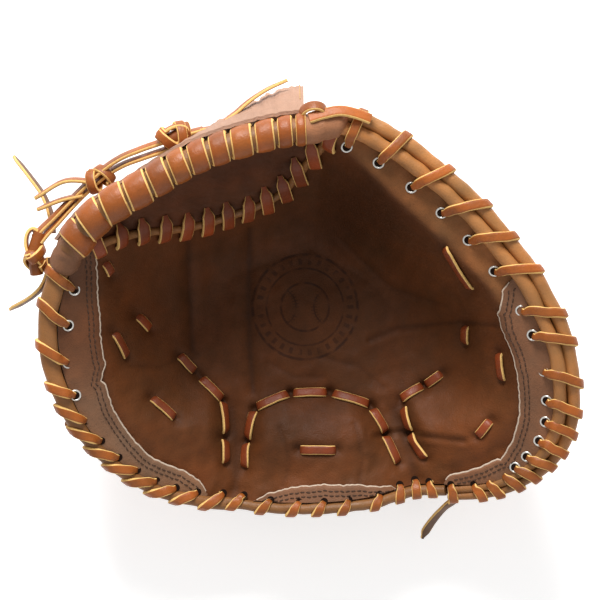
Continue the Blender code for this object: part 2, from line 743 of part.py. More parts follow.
def make_stall_walls(fingers, collection):
    """Thin walls between the finger stalls, from the back panels up to the lining."""
    for k, name in enumerate(("index_middle_wall", "middle_ring_wall", "ring_little_wall")):
        def place(u, v, k=k):
            x, y = fingers(0.28 + 0.30 * u, (k + 1) / 4)
            ahead = fingers(0.30 + 0.30 * u, (k + 1) / 4)
            along = Vector((ahead[0] - x, ahead[1] - y)).normalized()
            offset = (v - 0.5) * LINING
            return x - along.y * offset, y + along.x * offset

        def upper(u, v, place=place):
            x, y = place(u, v)
            return (x, y, lining_bottom(x, y) - 3.0)

        def lower(u, v, place=place):
            x, y = place(u, v)
            values, share = polar(x, y)
            near, far = back_section(values, share - 0.02), back_section(values, share + 0.02)
            slope = (far[1] - near[1]) / (far[0] - near[0])
            return (x, y, back_section(values, share)[1] + (LEATHER + 1.4) * math.sqrt(1 + slope**2))
        patch_solid(name, upper, lower, (6, 1), "lining", collection)


def cut(item, name, size, location, cutters):
    """Cut a box out of an object."""
    bpy.ops.mesh.primitive_cube_add(size=1.0, location=to_world(location))
    cutter = bpy.context.active_object
    cutter.name = name
    for vertex in cutter.data.vertices:
        vertex.co = Vector([c * s * MM for c, s in zip(vertex.co, size)])
    for owner in list(cutter.users_collection):
        owner.objects.unlink(cutter)
    cutters.objects.link(cutter)
    cutter.hide_render = True
    cutter.display_type = "WIRE"
    boolean = item.modifiers.new("cut_" + name, "BOOLEAN")
    boolean.operation = "DIFFERENCE"
    boolean.object = cutter


def make_wrist(collection, cutters):
    """Centre back panel with the hand's back opening, the wrist strap and its fleece."""
    low, high = BACK_PANEL_SPAN
    place = between_folds(high, low, HINGE_GAP)

    def step_up(y):
        return (STRAP_THICKNESS + 0.8) * smooth((BACK_OPENING[0] + 4 - y) / 6.0)

    panel = height_solid("centre_back_panel", place, lambda x, y: step_up(y) + LEATHER,
                         lambda x, y: step_up(y), (4, 24), "tan leather", collection)
    opening = BACK_OPENING[1] - BACK_OPENING[0]
    middle = (BACK_OPENING[0] + BACK_OPENING[1]) / 2
    cut(panel, "back_opening", (46, opening - 4, 30), (-4, middle + 2, 0), cutters)
    strap = between_folds(STRAP_SPAN[1], STRAP_SPAN[0], HINGE_GAP)
    height_solid("wrist_strap", strap, lambda x, y: STRAP_THICKNESS, lambda x, y: 0.0, (4, 3),
                 "tan leather", collection)
    fleece = between_folds(STRAP_SPAN[1] - 4, STRAP_SPAN[0] + 1, HINGE_GAP + 3)
    fleece_floor = STRAP_THICKNESS + 0.8 + LEATHER + 0.4
    height_solid("wrist_fleece", fleece, lambda x, y: fleece_floor + 3.2, lambda x, y: fleece_floor,
                 (4, 3), "felt", collection)


# ---------------------------------------------------------------- knots and tails

def make_knot(name, centre, size, collection):
    """A knot's outer form."""
    bpy.ops.mesh.primitive_uv_sphere_add(segments=10, ring_count=7, radius=1.0,
                                         location=to_world(centre))
    knot = bpy.context.active_object
    knot.name = name
    for vertex in knot.data.vertices:
        vertex.co = Vector([c * s / 2 * MM for c, s in zip(vertex.co, size)])
    for owner in list(knot.users_collection):
        owner.objects.unlink(knot)
    dress(knot, "lace", collection)


def make_knots_and_tails(collection):
    """The web's two knots, the strands between them, and the laces' free ends."""
    make_knot("web_knot", (-67.5, 87.0, 122.0), (19, 12, 12), collection)
    make_knot("left_knot", (-144.5, 26.0, 104.0), (11, 20, 14), collection)
    tube("web_strands", smooth_route(WEB_STRANDS, 9.0), 3.6, "lace", collection, 1)
    for name, route in (("web_tail", WEB_TAIL), ("left_upper_tail", LEFT_UPPER_TAIL),
                        ("left_lower_tail", LEFT_LOWER_TAIL), ("heel_tail", HEEL_TAIL)):
        tube(name, smooth_route(route, 8.0), 2.6, "lace", collection, 2)


# ---------------------------------------------------------------- folds

def hang_on_fold(name, axis, beginnings, collection):
    """An empty on a fold's axis, its Z along the axis, as the parent of the pieces that fold there."""
    point, direction = axis
    empty = bpy.data.objects.new(name, None)
    empty.empty_display_size = 20 * MM
    turn = Vector(direction).to_track_quat("Z", "Y").to_matrix().to_4x4()
    empty.matrix_world = Matrix.Translation(to_world(point)) @ turn
    collection.objects.link(empty)
    for piece in collection.objects:
        if piece.type != "EMPTY" and piece.name.startswith(beginnings):
            piece.parent = empty
            piece.matrix_parent_inverse = empty.matrix_world.inverted()


def main():
    """Build the mitt."""
    clear_scene()
    mitt = make_collection("catchers_mitt")
    cutters = make_collection("cutters")
    make_palm_leather(mitt)
    make_pads(mitt)
    make_overlays(mitt)
    make_welts(mitt)
    make_edge_laces(mitt)
    make_web(mitt)
    make_pad_laces(mitt)
    make_back(mitt)
    make_wrist(mitt, cutters)
    make_knots_and_tails(mitt)
    hang_on_fold("thumb_fold", THUMB_AXIS, THUMB_PARTS, mitt)
    hang_on_fold("finger_fold", FINGER_AXIS, FINGER_PARTS, mitt)


main()
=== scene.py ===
"""Baseball catcher's mitt: the look of each piece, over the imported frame.

Plans are in millimetres from the pocket's centre, as in the part's own design, and
OFFSET moves them to the frame. Heights follow the same rim table as the CAD.
"""

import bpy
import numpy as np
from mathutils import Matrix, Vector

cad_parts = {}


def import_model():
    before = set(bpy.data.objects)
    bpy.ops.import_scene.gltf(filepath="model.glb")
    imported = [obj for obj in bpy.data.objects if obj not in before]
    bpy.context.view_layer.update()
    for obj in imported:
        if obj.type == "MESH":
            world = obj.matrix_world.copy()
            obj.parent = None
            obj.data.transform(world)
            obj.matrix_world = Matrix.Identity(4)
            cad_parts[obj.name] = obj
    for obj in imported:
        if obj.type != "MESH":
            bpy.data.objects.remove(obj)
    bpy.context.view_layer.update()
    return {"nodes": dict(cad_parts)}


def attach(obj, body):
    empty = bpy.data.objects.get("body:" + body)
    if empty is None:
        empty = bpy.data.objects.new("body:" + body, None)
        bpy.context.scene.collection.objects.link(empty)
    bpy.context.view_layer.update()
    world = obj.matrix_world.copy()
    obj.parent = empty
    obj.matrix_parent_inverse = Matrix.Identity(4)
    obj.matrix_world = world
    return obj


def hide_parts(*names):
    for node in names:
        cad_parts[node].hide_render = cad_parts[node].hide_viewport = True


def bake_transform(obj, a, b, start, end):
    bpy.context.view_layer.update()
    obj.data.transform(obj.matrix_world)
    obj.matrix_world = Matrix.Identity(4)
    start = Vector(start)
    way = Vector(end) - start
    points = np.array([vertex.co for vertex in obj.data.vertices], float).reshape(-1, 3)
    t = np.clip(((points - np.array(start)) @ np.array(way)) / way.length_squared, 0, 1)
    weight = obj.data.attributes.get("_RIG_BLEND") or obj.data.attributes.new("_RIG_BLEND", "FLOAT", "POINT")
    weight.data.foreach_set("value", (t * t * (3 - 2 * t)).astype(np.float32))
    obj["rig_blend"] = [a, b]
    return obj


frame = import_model()

import math

import bmesh
import bpy
import numpy as np
from mathutils import Vector

OFFSET = np.array([-0.7, 5.9, 0.0])
MM = 0.001                   # a millimetre in metres


def world(points):
    """Millimetres from the pocket's centre to metres in the frame."""
    return (np.asarray(points, float) + OFFSET) * MM


# ---------------------------------------------------------------- camera and light

CAMERA_AT = (-2.7, 1.1, 1290.0)
LAMP_AIM = (0.0, 0.0, 0.05)


def make_camera():
    """Straight down on the open pocket."""
    data = bpy.data.cameras.new("camera")
    data.lens = 133.33
    data.sensor_width = 36.0
    data.clip_end = 20.0
    camera = bpy.data.objects.new("camera", data)
    camera.location = world(CAMERA_AT)
    bpy.context.scene.collection.objects.link(camera)
    bpy.context.scene.camera = camera


def make_light(name, at, size, power):
    """One soft white square lamp, turned to the mitt."""
    data = bpy.data.lights.new(name, "AREA")
    data.size = size
    data.energy = power
    lamp = bpy.data.objects.new(name, data)
    lamp.location = at
    lamp.rotation_euler = (Vector(LAMP_AIM) - Vector(at)).to_track_quat("-Z", "Y").to_euler()
    bpy.context.scene.collection.objects.link(lamp)


def make_stage():
    """Plain pale floor, a bright surround and the studio lamps."""
    surround = bpy.data.worlds.new("surround")
    surround.use_nodes = True
    background = surround.node_tree.nodes["Background"]
    background.inputs["Color"].default_value = (1.0, 1.0, 1.0, 1.0)
    background.inputs["Strength"].default_value = 0.42
    bpy.context.scene.world = surround
    bpy.context.scene.view_settings.view_transform = "Standard"
    make_light("key", (-0.20, 1.45, 1.20), 0.7, 48.0)
    make_light("fill", (0.3, -1.3, 1.0), 1.4, 4.0)
    mesh = bpy.data.meshes.new("floor")
    mesh.from_pydata([(-4, -4, 0), (4, -4, 0), (4, 4, 0), (-4, 4, 0)], [], [(0, 1, 2, 3)])
    floor = bpy.data.objects.new("floor", mesh)
    material = bpy.data.materials.new("floor_white")
    material.use_nodes = True
    shader = material.node_tree.nodes["Principled BSDF"]
    shader.inputs["Base Color"].default_value = (0.92, 0.92, 0.92, 1.0)
    shader.inputs["Roughness"].default_value = 0.9
    shader.inputs["Specular IOR Level"].default_value = 0.1
    shader.inputs["Emission Color"].default_value = (1.0, 1.0, 1.0, 1.0)
    shader.inputs["Emission Strength"].default_value = 0.5
    mesh.materials.append(material)
    bpy.context.scene.collection.objects.link(floor)


# ---------------------------------------------------------------- the mitt's form

POCKET_FLOOR = 44.0
HEEL_RISE = 9.0
HEEL_LINE = -46.0
RIM_STACK = 8.0
BACK_EDGE_OUT = 4.0
THUMB_FOLD = ((-30.0, 52.0), (-40.0, -110.0))
FINGER_FOLD = ((-15.0, 52.0), (66.0, -102.0))
STATIONS = (
    # azimuth, radius, height, foot, fold, share, flat, bulge
    (1, 126.0, 112, 0.36, 0.80, 0.92, 0.59, 3),
    (17, 109.0, 118, 0.34, 0.76, 0.90, 0.57, 3),
    (40, 97.0, 124, 0.30, 0.745, 0.90, 0.54, 3),
    (60, 95.0, 128, 0.30, 0.775, 0.91, 0.54, 3),
    (78, 96.0, 132, 0.30, 0.87, 0.96, 0.56, 4),
    (84, 92.8, 133.5, 0.31, 0.96, 0.99, 0.57, 14),
    (89, 90.0, 135, 0.30, 1.00, 1.00, 0.58, 36),
    (109, 89.0, 138, 0.30, 1.00, 1.00, 0.58, 28),
    (129, 94.5, 139, 0.30, 1.00, 1.00, 0.58, 17),
    (145, 103.5, 135, 0.32, 1.00, 1.00, 0.58, 9),
    (159, 119.5, 125, 0.34, 0.95, 0.97, 0.57, 3),
    (171, 130.0, 112, 0.36, 0.84, 0.90, 0.59, 3),
    (187, 138.5, 103, 0.38, 0.80, 0.88, 0.59, 3),
    (203, 139.5, 91, 0.40, 0.82, 0.88, 0.60, 3),
    (216, 136.5, 77, 0.42, 0.84, 0.90, 0.60, 3),
    (229, 131.5, 64, 0.42, 0.86, 0.92, 0.70, 3),
    (241, 124.0, 55, 0.42, 0.88, 0.94, 0.82, 2),
    (251, 118.0, 51.5, 0.42, 0.90, 0.95, 0.90, 2),
    (271, 114.0, 60, 0.42, 0.90, 0.95, 0.92, 2),
    (290, 117.5, 59, 0.42, 0.90, 0.95, 0.92, 2),
    (302, 123.0, 52, 0.42, 0.88, 0.94, 0.88, 2),
    (319, 149.0, 71, 0.42, 0.84, 0.90, 0.66, 3),
    (331, 156.0, 88, 0.42, 0.82, 0.88, 0.63, 3),
    (345, 145.0, 103, 0.40, 0.82, 0.90, 0.60, 3),
)
FIELDS = ("radius", "height", "foot", "fold", "share", "flat", "bulge")
WEB_SEAM = ((80, 88.6), (87, 78), (101, 62), (113, 59), (125, 60.5), (146, 74), (157, 96),
            (163, 110.5), (168, 121.5))
FINGER_SPAN = (-53.0, 78.0)
THUMB_SPAN = (166.0, 245.5)
HEEL_SPAN = (250.0, 304.0)
ROLL_RADIUS = 6.5
HIDE_THICKNESS = 2.0
WEB_THICKNESS = 1.8
BACK_THICKNESS = 2.2
LACE_THICKNESS = 1.9

# Runs of lacing on the palm, one (start, end) pair for each dash that shows.
PALM_DASHES = (
    ((-28.4, -60.8), (-31.7, -77.0)), ((-32.3, -78.7), (-33.4, -93.2)),
    ((-27.3, -59.2), (-8.8, -51.4)), ((-7.2, -51.4), (12.9, -50.8)),
    ((15.2, -51.4), (36.4, -57.5)), ((37.5, -59.7), (45.3, -73.1)),
    ((44.7, -74.8), (52.0, -90.4)), ((-3.3, -82.1), (17.8, -82.1)),
)
THUMB_DASHES = (
    ((-107.3, 21.7), (-104.0, 14.1)), ((-92.5, -7.2), (-85.4, -15.4)),
    ((-103.9, -16.4), (-97.3, -30.6)), ((-70.8, -29.6), (-61.3, -39.1)),
    ((-58.5, -42.4), (-46.2, -54.7)), ((-46.2, -55.6), (-44.6, -73.7)),
    ((-45.1, -76.5), (-44.6, -90.4)), ((-85.0, -52.8), (-71.6, -64.5)),
)
FINGER_DASHES = (
    ((77.0, -39.6), (67.5, -46.8)), ((66.4, -46.8), (53.5, -54.6)),
    ((55.2, -58.5), (59.1, -71.9)), ((58.6, -73.5), (67.5, -87.5)),
    ((88.7, -12.6), (88.7, -23.5)), ((105.7, -27.1), (107.9, -43.3)),
    ((94.5, -74.0), (102.2, -64.6)), ((74.0, 29.7), (90.2, 6.5)),
)
# Creases and folds worn into the palm: (route, depth, width).
CREASES = (
    (((36.9, -21.2), (52.5, -14.5), (87.0, -10.9), (104.3, -12.9)), 1.0, 1.8),
    (((39.7, -74.8), (53.1, -72.6), (68.2, -74.8), (87.7, -76.6)), 0.9, 1.6),
    (((-64.1, 40.0), (-64.6, 8.0), (-63.0, -27.0)), 1.3, 3.0),
    (((-30.6, 40.0), (-31.5, 8.0), (-31.0, -24.0), (-29.0, -50.0)), 1.2, 3.0),
    (((-41.0, -60.0), (-38.5, -80.0), (-39.0, -104.0)), 2.2, 5.0),
    (((50.0, -60.0), (57.0, -80.0), (62.0, -98.0)), 2.0, 5.0),
    (((20.0, 35.0), (48.0, 8.0), (78.0, -2.0)), 0.5, 1.6),
    (((8.0, -30.0), (30.0, -36.0), (44.0, -48.0)), 0.5, 2.0),
    (((-20.0, -34.0), (-6.0, -42.0), (10.0, -42.0)), 0.5, 2.0),
    (((-95.0, -35.0), (-80.0, -36.0), (-68.0, -30.0)), 0.6, 2.0),
    (((-14.0, -70.0), (-8.0, -90.0), (-12.0, -102.0)), 0.4, 1.6),
    (((28.0, -68.0), (32.0, -88.0), (30.0, -102.0)), 0.5, 1.6),
)
# Inner edges of the stitched overlays.
THUMB_EDGE = ((-104.0, 44.0), (-110.7, 30.4), (-111.4, 12.3), (-110.8, -8.0), (-108.9, -34.1),
              (-111.1, -42.3), (-108.6, -44.5), (-105.0, -57.4), (-96.2, -72.6), (-85.7, -85.2),
              (-78.7, -88.8), (-67.2, -93.4), (-59.0, -99.2), (-54.5, -106.4))
FINGER_EDGE = ((109.5, 12.5), (105.5, 6.4), (104.4, -5.9), (107.3, -15.0), (112.7, -27.5),
               (116.0, -42.3), (116.8, -60.5), (113.7, -75.2), (107.7, -86.7), (106.0, -85.6),
               (99.0, -89.6), (90.4, -93.1), (81.1, -95.5), (77.8, -99.9))
HEEL_EDGE = ((-28.3, -111.5), (-20.5, -107.0), (-9.9, -104.0), (-2.7, -102.6), (10.1, -101.6),
             (29.0, -101.6), (47.3, -102.8), (52.3, -106.0))


def dense_stations(count=720):
    """The table's columns at even azimuths, by a periodic cubic through its rows."""
    table = np.array(STATIONS, dtype=float)
    rows = len(table)
    wrapped = np.vstack([table[-2:], table, table[:2]])
    wrapped[:2, 0] -= 360
    wrapped[-2:, 0] += 360
    angles = np.arange(count) * 360.0 / count
    columns = np.empty((count, table.shape[1]))
    for k, angle in enumerate(angles):
        i = int(np.searchsorted(wrapped[1:rows + 3, 0], angle, side="right"))
        a, b, c, d = wrapped[i - 1], wrapped[i], wrapped[i + 1], wrapped[i + 2]
        span = c[0] - b[0]
        t = (angle - b[0]) / span
        m1 = (c - a) / (c[0] - a[0]) * span
        m2 = (d - b) / (d[0] - b[0]) * span
        columns[k] = ((2 * t**3 - 3 * t**2 + 1) * b + (t**3 - 2 * t**2 + t) * m1
                      + (3 * t**2 - 2 * t**3) * c + (t**3 - t**2) * m2)
    return angles, columns


DENSE_ANGLES, DENSE_COLUMNS = dense_stations()


def station(azimuth):
    """The table's values at azimuths, by name."""
    azimuth = np.asarray(azimuth, float) % 360
    return {name: np.interp(azimuth, DENSE_ANGLES, DENSE_COLUMNS[:, k + 1], period=360)
            for k, name in enumerate(FIELDS)}


def smooth(t):
    """0 below 0, 1 above 1, and a smooth step between."""
    t = np.clip(t, 0.0, 1.0)
    return t * t * (3 - 2 * t)


def polar(x, y):
    """Station values and share of the rim's radius at points of the plan."""
    values = station(np.degrees(np.arctan2(y, x)))
    return values, np.hypot(x, y) / values["radius"]


def plan(azimuth, radius):
    """Points of the plan at azimuths in degrees, as a pair of arrays."""
    angle = np.radians(azimuth)
    return radius * np.cos(angle), radius * np.sin(angle)


def rim_normal(azimuth):
    """Outward unit normals of the rim in plan."""
    x0, y0 = plan(azimuth - 1.5, station(azimuth - 1.5)["radius"])
    x1, y1 = plan(azimuth + 1.5, station(azimuth + 1.5)["radius"])
    along = np.stack([x1 - x0, y1 - y0], -1)
    along /= np.linalg.norm(along, axis=-1, keepdims=True)
    return np.stack([along[..., 1], -along[..., 0]], -1)


def rim_column(table, azimuth, column):
    """A column of a rim table at azimuths."""
    return np.interp(azimuth, [row[0] for row in table], [row[column] for row in table])


def inset_radius(azimuth, inset):
    """Radius of a line that runs an inset inside the rim, measured square to the rim."""
    normal = rim_normal(azimuth)
    angle = np.radians(azimuth)
    slant = normal[..., 0] * np.cos(angle) + normal[..., 1] * np.sin(angle)
    return station(azimuth)["radius"] - inset / slant


def rim_place(azimuth, outwards, upwards):
    """Point beside the rim's centre line, offset square to the rim and upwards."""
    values = station(azimuth)
    x, y = plan(azimuth, values["radius"])
    normal = rim_normal(azimuth)
    return np.stack([x + normal[..., 0] * outwards,
                     y + normal[..., 1] * outwards,
                     values["height"] + upwards], -1)


def fold_distance(x, y):
    """Distance from points of the plan to the nearer fold line."""
    distances = []
    for (x0, y0), (x1, y1) in (THUMB_FOLD, FINGER_FOLD):
        length = math.hypot(x1 - x0, y1 - y0)
        distances.append(np.abs((x - x0) * (y1 - y0) - (y - y0) * (x1 - x0)) / length)
    return np.minimum(*distances)


def base_height(x, y):
    """Height of the pocket before its heel pads are raised."""
    values, share = polar(x, y)
    lift = np.maximum(share - values["foot"], 0) / np.maximum(values["fold"] - values["foot"], 0.01)
    wall = values["share"] * lift**1.6
    band = 1 - (1 - values["share"]) * (1 - share) / np.maximum(1 - values["fold"], 0.01)
    blend = np.maximum(0.06 - np.abs(wall - band), 0.0) / 0.06
    rise = np.minimum(np.minimum(wall, band), 1.0) - blend * blend * 0.015
    return POCKET_FLOOR + (values["height"] - 1.0 - POCKET_FLOOR) * rise


def face_height(x, y):
    """Height of the pocket leather's upper face, heel pads included."""
    _, share = polar(x, y)
    groove = smooth((fold_distance(x, y) - 2.0) / 16.0)
    heel = smooth((HEEL_LINE - y) / 26.0)
    edge = smooth((0.91 - share) / 0.25)
    return base_height(x, y) + HEEL_RISE * groove * heel * edge


def ripple(x, y, scale, seed):
    """Smooth random field, about -1 to 1, from sines in fixed directions."""
    rng = np.random.default_rng(seed)
    total = 0.0
    for _ in range(9):
        turn, phase = rng.uniform(0, 2 * math.pi, 2)
        rate = 2 * math.pi / scale * rng.uniform(0.6, 1.6)
        total = total + np.sin((x * math.cos(turn) + y * math.sin(turn)) * rate + phase)
    return total / 3.6


def waver(along, scale, seed):
    """Smooth random values along a line, about -1 to 1."""
    return ripple(along, along * 0, scale, seed)


def route_distance(x, y, route):
    """Distance from points of the plan to a route."""
    best = np.full(np.shape(x), 1e9)
    for (x0, y0), (x1, y1) in zip(route, route[1:]):
        dx, dy = x1 - x0, y1 - y0
        t = np.clip(((x - x0) * dx + (y - y0) * dy) / (dx * dx + dy * dy), 0, 1)
        best = np.minimum(best, np.hypot(x - x0 - t * dx, y - y0 - t * dy))
    return best


def web_seam_radius(azimuth):
    """Radius of the seam between web and palm."""
    return np.interp(azimuth, [a for a, _ in WEB_SEAM], [r for _, r in WEB_SEAM])


def detail(x, y):
    """What wear and lacing add to the pocket leather's height."""
    _, share = polar(x, y)
    inside = smooth((0.97 - share) / 0.1)
    height = 0.7 * ripple(x, y, 46.0, 3) * inside + 0.22 * ripple(x, y, 17.0, 4) * inside
    height = height + 0.10 * ripple(x, y, 7.5, 5)
    for route, depth, width in CREASES:
        d = route_distance(x, y, route)
        height = height - depth * np.exp(-(d / width)**2)
        height = height + 0.35 * depth * np.exp(-((d - 2.2 * width) / width)**2)
    for start, end in PALM_DASHES + THUMB_DASHES + FINGER_DASHES:
        d = route_distance(x, y, (start, end))
        height = height - 1.5 * np.exp(-(d / 4.2)**2)
        for hole in (start, end):
            near = np.hypot(x - hole[0], y - hole[1])
            height = height - 1.2 * np.exp(-(near / 2.4)**2)
    azimuth = np.degrees(np.arctan2(y, x)) % 360
    pucker = smooth((share - 0.86) / 0.08) * smooth((1.01 - share) / 0.05)
    height = height + 0.35 * pucker * ripple(azimuth * 2.2, share * 12.0, 9.0, 8)
    return height


def skin_height(x, y):
    """Height of the visible pocket leather."""
    return face_height(x, y) + detail(x, y)


def skin_normal(x, y, height=skin_height):
    """Unit normals of a height field."""
    step = 0.7
    slope_x = (height(x + step, y) - height(x - step, y)) / (2 * step)
    slope_y = (height(x, y + step) - height(x, y - step)) / (2 * step)
    normal = np.stack([-slope_x, -slope_y, np.ones_like(slope_x)], -1)
    return normal / np.linalg.norm(normal, axis=-1, keepdims=True)


def on_skin(x, y, lift):
    """Points a lift above the pocket leather, square to it, and its normals there."""
    x, y = np.asarray(x, float), np.asarray(y, float)
    normal = skin_normal(x, y)
    return np.stack([x, y, skin_height(x, y)], -1) + normal * np.asarray(lift)[..., None], normal


def back_section(values, share):
    """Radius and height of the back's outer face at shares of the rim's radius."""
    lift = np.maximum(share - values["flat"], 0.0) / (1 - values["flat"])
    outer = np.maximum(share - 0.5, 0.0) / 0.5
    swell = (BACK_EDGE_OUT * outer**2
             + (values["bulge"] - 3.0) * np.sin(math.pi * np.minimum(outer, 1.0)**2))
    return values["radius"] * share + swell, (values["height"] - RIM_STACK) * lift**1.5


def back_place(x, y, inset):
    """Points of the back over points of the plan, inset square to its outer face."""
    values, share = polar(x, y)
    radius, height = back_section(values, share)
    low = back_section(values, share - 0.01)
    high = back_section(values, share + 0.01)
    run, rise = high[0] - low[0], high[1] - low[1]
    length = np.hypot(run, rise)
    radius = radius - inset * rise / length
    height = height + inset * run / length
    angle = np.arctan2(y, x)
    return np.stack([radius * np.cos(angle), radius * np.sin(angle), height], -1)


# ---------------------------------------------------------------- materials

def linear(red, green, blue):
    """An 8-bit colour as linear light."""
    result = []
    for value in (red, green, blue):
        value /= 255.0
        result.append(value / 12.92 if value <= 0.04045 else ((value + 0.055) / 1.055)**2.4)
    return tuple(result)


class Nodes:
    """Small helper for building a material's node tree."""

    def __init__(self, name):
        self.material = bpy.data.materials.new(name)
        self.material.use_nodes = True
        self.tree = self.material.node_tree
        self.shader = self.tree.nodes["Principled BSDF"]

    def add(self, kind, **settings):
        """A node with its settings."""
        node = self.tree.nodes.new(kind)
        for key, value in settings.items():
            setattr(node, key, value)
        return node

    def link(self, source, target):
        """Join an output to an input."""
        self.tree.links.new(source, target)

    def noise(self, scale, detail_level=4.0, roughness=0.55, stretch=None):
        """Noise over the object's own coordinates, in cells of 1/scale metres."""
        coordinates = self.add("ShaderNodeTexCoord")
        source = coordinates.outputs["Object"]
        if stretch:
            mapping = self.add("ShaderNodeMapping")
            mapping.inputs["Scale"].default_value = stretch
            self.link(source, mapping.inputs["Vector"])
            source = mapping.outputs["Vector"]
        texture = self.add("ShaderNodeTexNoise")
        texture.inputs["Scale"].default_value = scale
        texture.inputs["Detail"].default_value = detail_level
        texture.inputs["Roughness"].default_value = roughness
        self.link(source, texture.inputs["Vector"])
        return texture.outputs["Fac"]

    def cells(self, scale):
        """Voronoi distance over the object's own coordinates."""
        coordinates = self.add("ShaderNodeTexCoord")
        texture = self.add("ShaderNodeTexVoronoi")
        texture.feature = "F1"
        texture.inputs["Scale"].default_value = scale
        self.link(coordinates.outputs["Object"], texture.inputs["Vector"])
        return texture.outputs["Distance"]

    def spread(self, value, low, high, to_low=0.0, to_high=1.0):
        """A value's range mapped to another."""
        node = self.add("ShaderNodeMapRange")
        node.inputs["From Min"].default_value = low
        node.inputs["From Max"].default_value = high
        node.inputs["To Min"].default_value = to_low
        node.inputs["To Max"].default_value = to_high
        self.link(value, node.inputs["Value"])
        return node.outputs["Result"]

    def math(self, operation, a, b):
        """A math node of two sockets or numbers."""
        node = self.add("ShaderNodeMath")
        node.operation = operation
        for socket, value in zip(node.inputs, (a, b)):
            if isinstance(value, (int, float)):
                socket.default_value = value
            else:
                self.link(value, socket)
        return node.outputs["Value"]

    def mix(self, factor, a, b, blend="MIX"):
        """A colour mix of two sockets or colours."""
        node = self.add("ShaderNodeMix")
        node.data_type = "RGBA"
        node.blend_type = blend
        share, colour_a, colour_b = node.inputs[0], node.inputs[6], node.inputs[7]
        if isinstance(factor, (int, float)):
            share.default_value = factor
        else:
            self.link(factor, share)
        for socket, value in ((colour_a, a), (colour_b, b)):
            if isinstance(value, tuple):
                socket.default_value = (*value, 1.0)
            else:
                self.link(value, socket)
        return node.outputs[2]

    def bump(self, layers):
        """Stacked bumps: (height socket, strength, distance in metres)."""
        previous = None
        for height, strength, distance in layers:
            node = self.add("ShaderNodeBump")
            node.inputs["Strength"].default_value = strength
            node.inputs["Distance"].default_value = distance
            self.link(height, node.inputs["Height"])
            if previous:
                self.link(previous, node.inputs["Normal"])
            previous = node.outputs["Normal"]
        self.link(previous, self.shader.inputs["Normal"])


PORE_SCALE = 1500.0          # pores of leather in a metre


def leather(name, colour, rough, grain, wrinkle, mottle, warm=(1.15, 0.95, 0.8),
            specular=0.4):
    """Leather: pores, fine wrinkles, and mottling in hue and in gloss."""
    nodes = Nodes(name)
    mottles = nodes.noise(38.0, 5.0, 0.62)
    blotches = nodes.noise(140.0, 4.0, 0.6)
    pores = nodes.cells(PORE_SCALE)
    wrinkles = nodes.noise(420.0, 6.0, 0.62)
    dark = tuple(c * (1 - mottle) for c in colour)
    light = tuple(min(c * (1 + 0.55 * mottle) * w, 1.0) for c, w in zip(colour, warm))
    base = nodes.mix(nodes.spread(mottles, 0.30, 0.70), dark, light)
    base = nodes.mix(nodes.spread(blotches, 0.35, 0.75, 0.0, 0.35), base, dark)
    speck = nodes.spread(pores, 0.05, 0.45, 0.80, 1.04)
    shade = nodes.add("ShaderNodeCombineColor")
    for socket in shade.inputs:
        nodes.link(speck, socket)
    base = nodes.mix(1.0, base, shade.outputs["Color"], "MULTIPLY")
    attribute = nodes.add("ShaderNodeAttribute")
    attribute.attribute_name = "tone"
    base = nodes.mix(1.0, base, attribute.outputs["Color"], "MULTIPLY")
    nodes.link(base, nodes.shader.inputs["Base Color"])
    nodes.link(nodes.spread(blotches, 0.3, 0.75, rough - 0.08, rough + 0.12),
               nodes.shader.inputs["Roughness"])
    nodes.shader.inputs["Specular IOR Level"].default_value = specular
    nodes.bump([(mottles, 0.25, 0.0012), (wrinkles, wrinkle, 0.0005), (pores, grain, 0.0003)])
    return nodes.material


def plain(name, colour, rough, noise_scale=300.0, contrast=0.25, bump=0.3, metallic=0.0, specular=0.4):
    """A small part's material: one hue with fine variation and bump."""
    nodes = Nodes(name)
    field = nodes.noise(noise_scale, 5.0, 0.6)
    dark = tuple(c * (1 - contrast) for c in colour)
    light = tuple(min(c * (1 + contrast), 1.0) for c in colour)
    nodes.link(nodes.mix(nodes.spread(field, 0.3, 0.7), dark, light), nodes.shader.inputs["Base Color"])
    nodes.link(nodes.spread(field, 0.3, 0.7, rough - 0.06, rough + 0.08), nodes.shader.inputs["Roughness"])
    nodes.shader.inputs["Metallic"].default_value = metallic
    nodes.shader.inputs["Specular IOR Level"].default_value = specular
    nodes.bump([(field, bump, 0.0004)])
    return nodes.material


def felt(name, colour, scale=900.0):
    """Fabric with a fibrous, matte surface."""
    nodes = Nodes(name)
    fibres = nodes.noise(scale, 8.0, 0.75, (1.0, 1.0, 1.6))
    tufts = nodes.noise(scale * 0.22, 5.0, 0.6)
    dark = tuple(c * 0.7 for c in colour)
    base = nodes.mix(nodes.spread(fibres, 0.3, 0.7), dark, colour)
    base = nodes.mix(nodes.spread(tufts, 0.3, 0.7, 0.0, 0.5), base, dark)
    nodes.link(base, nodes.shader.inputs["Base Color"])
    nodes.shader.inputs["Roughness"].default_value = 0.95
    nodes.shader.inputs["Sheen Weight"].default_value = 0.3
    nodes.bump([(tufts, 0.6, 0.0012), (fibres, 0.7, 0.0004)])
    return nodes.material


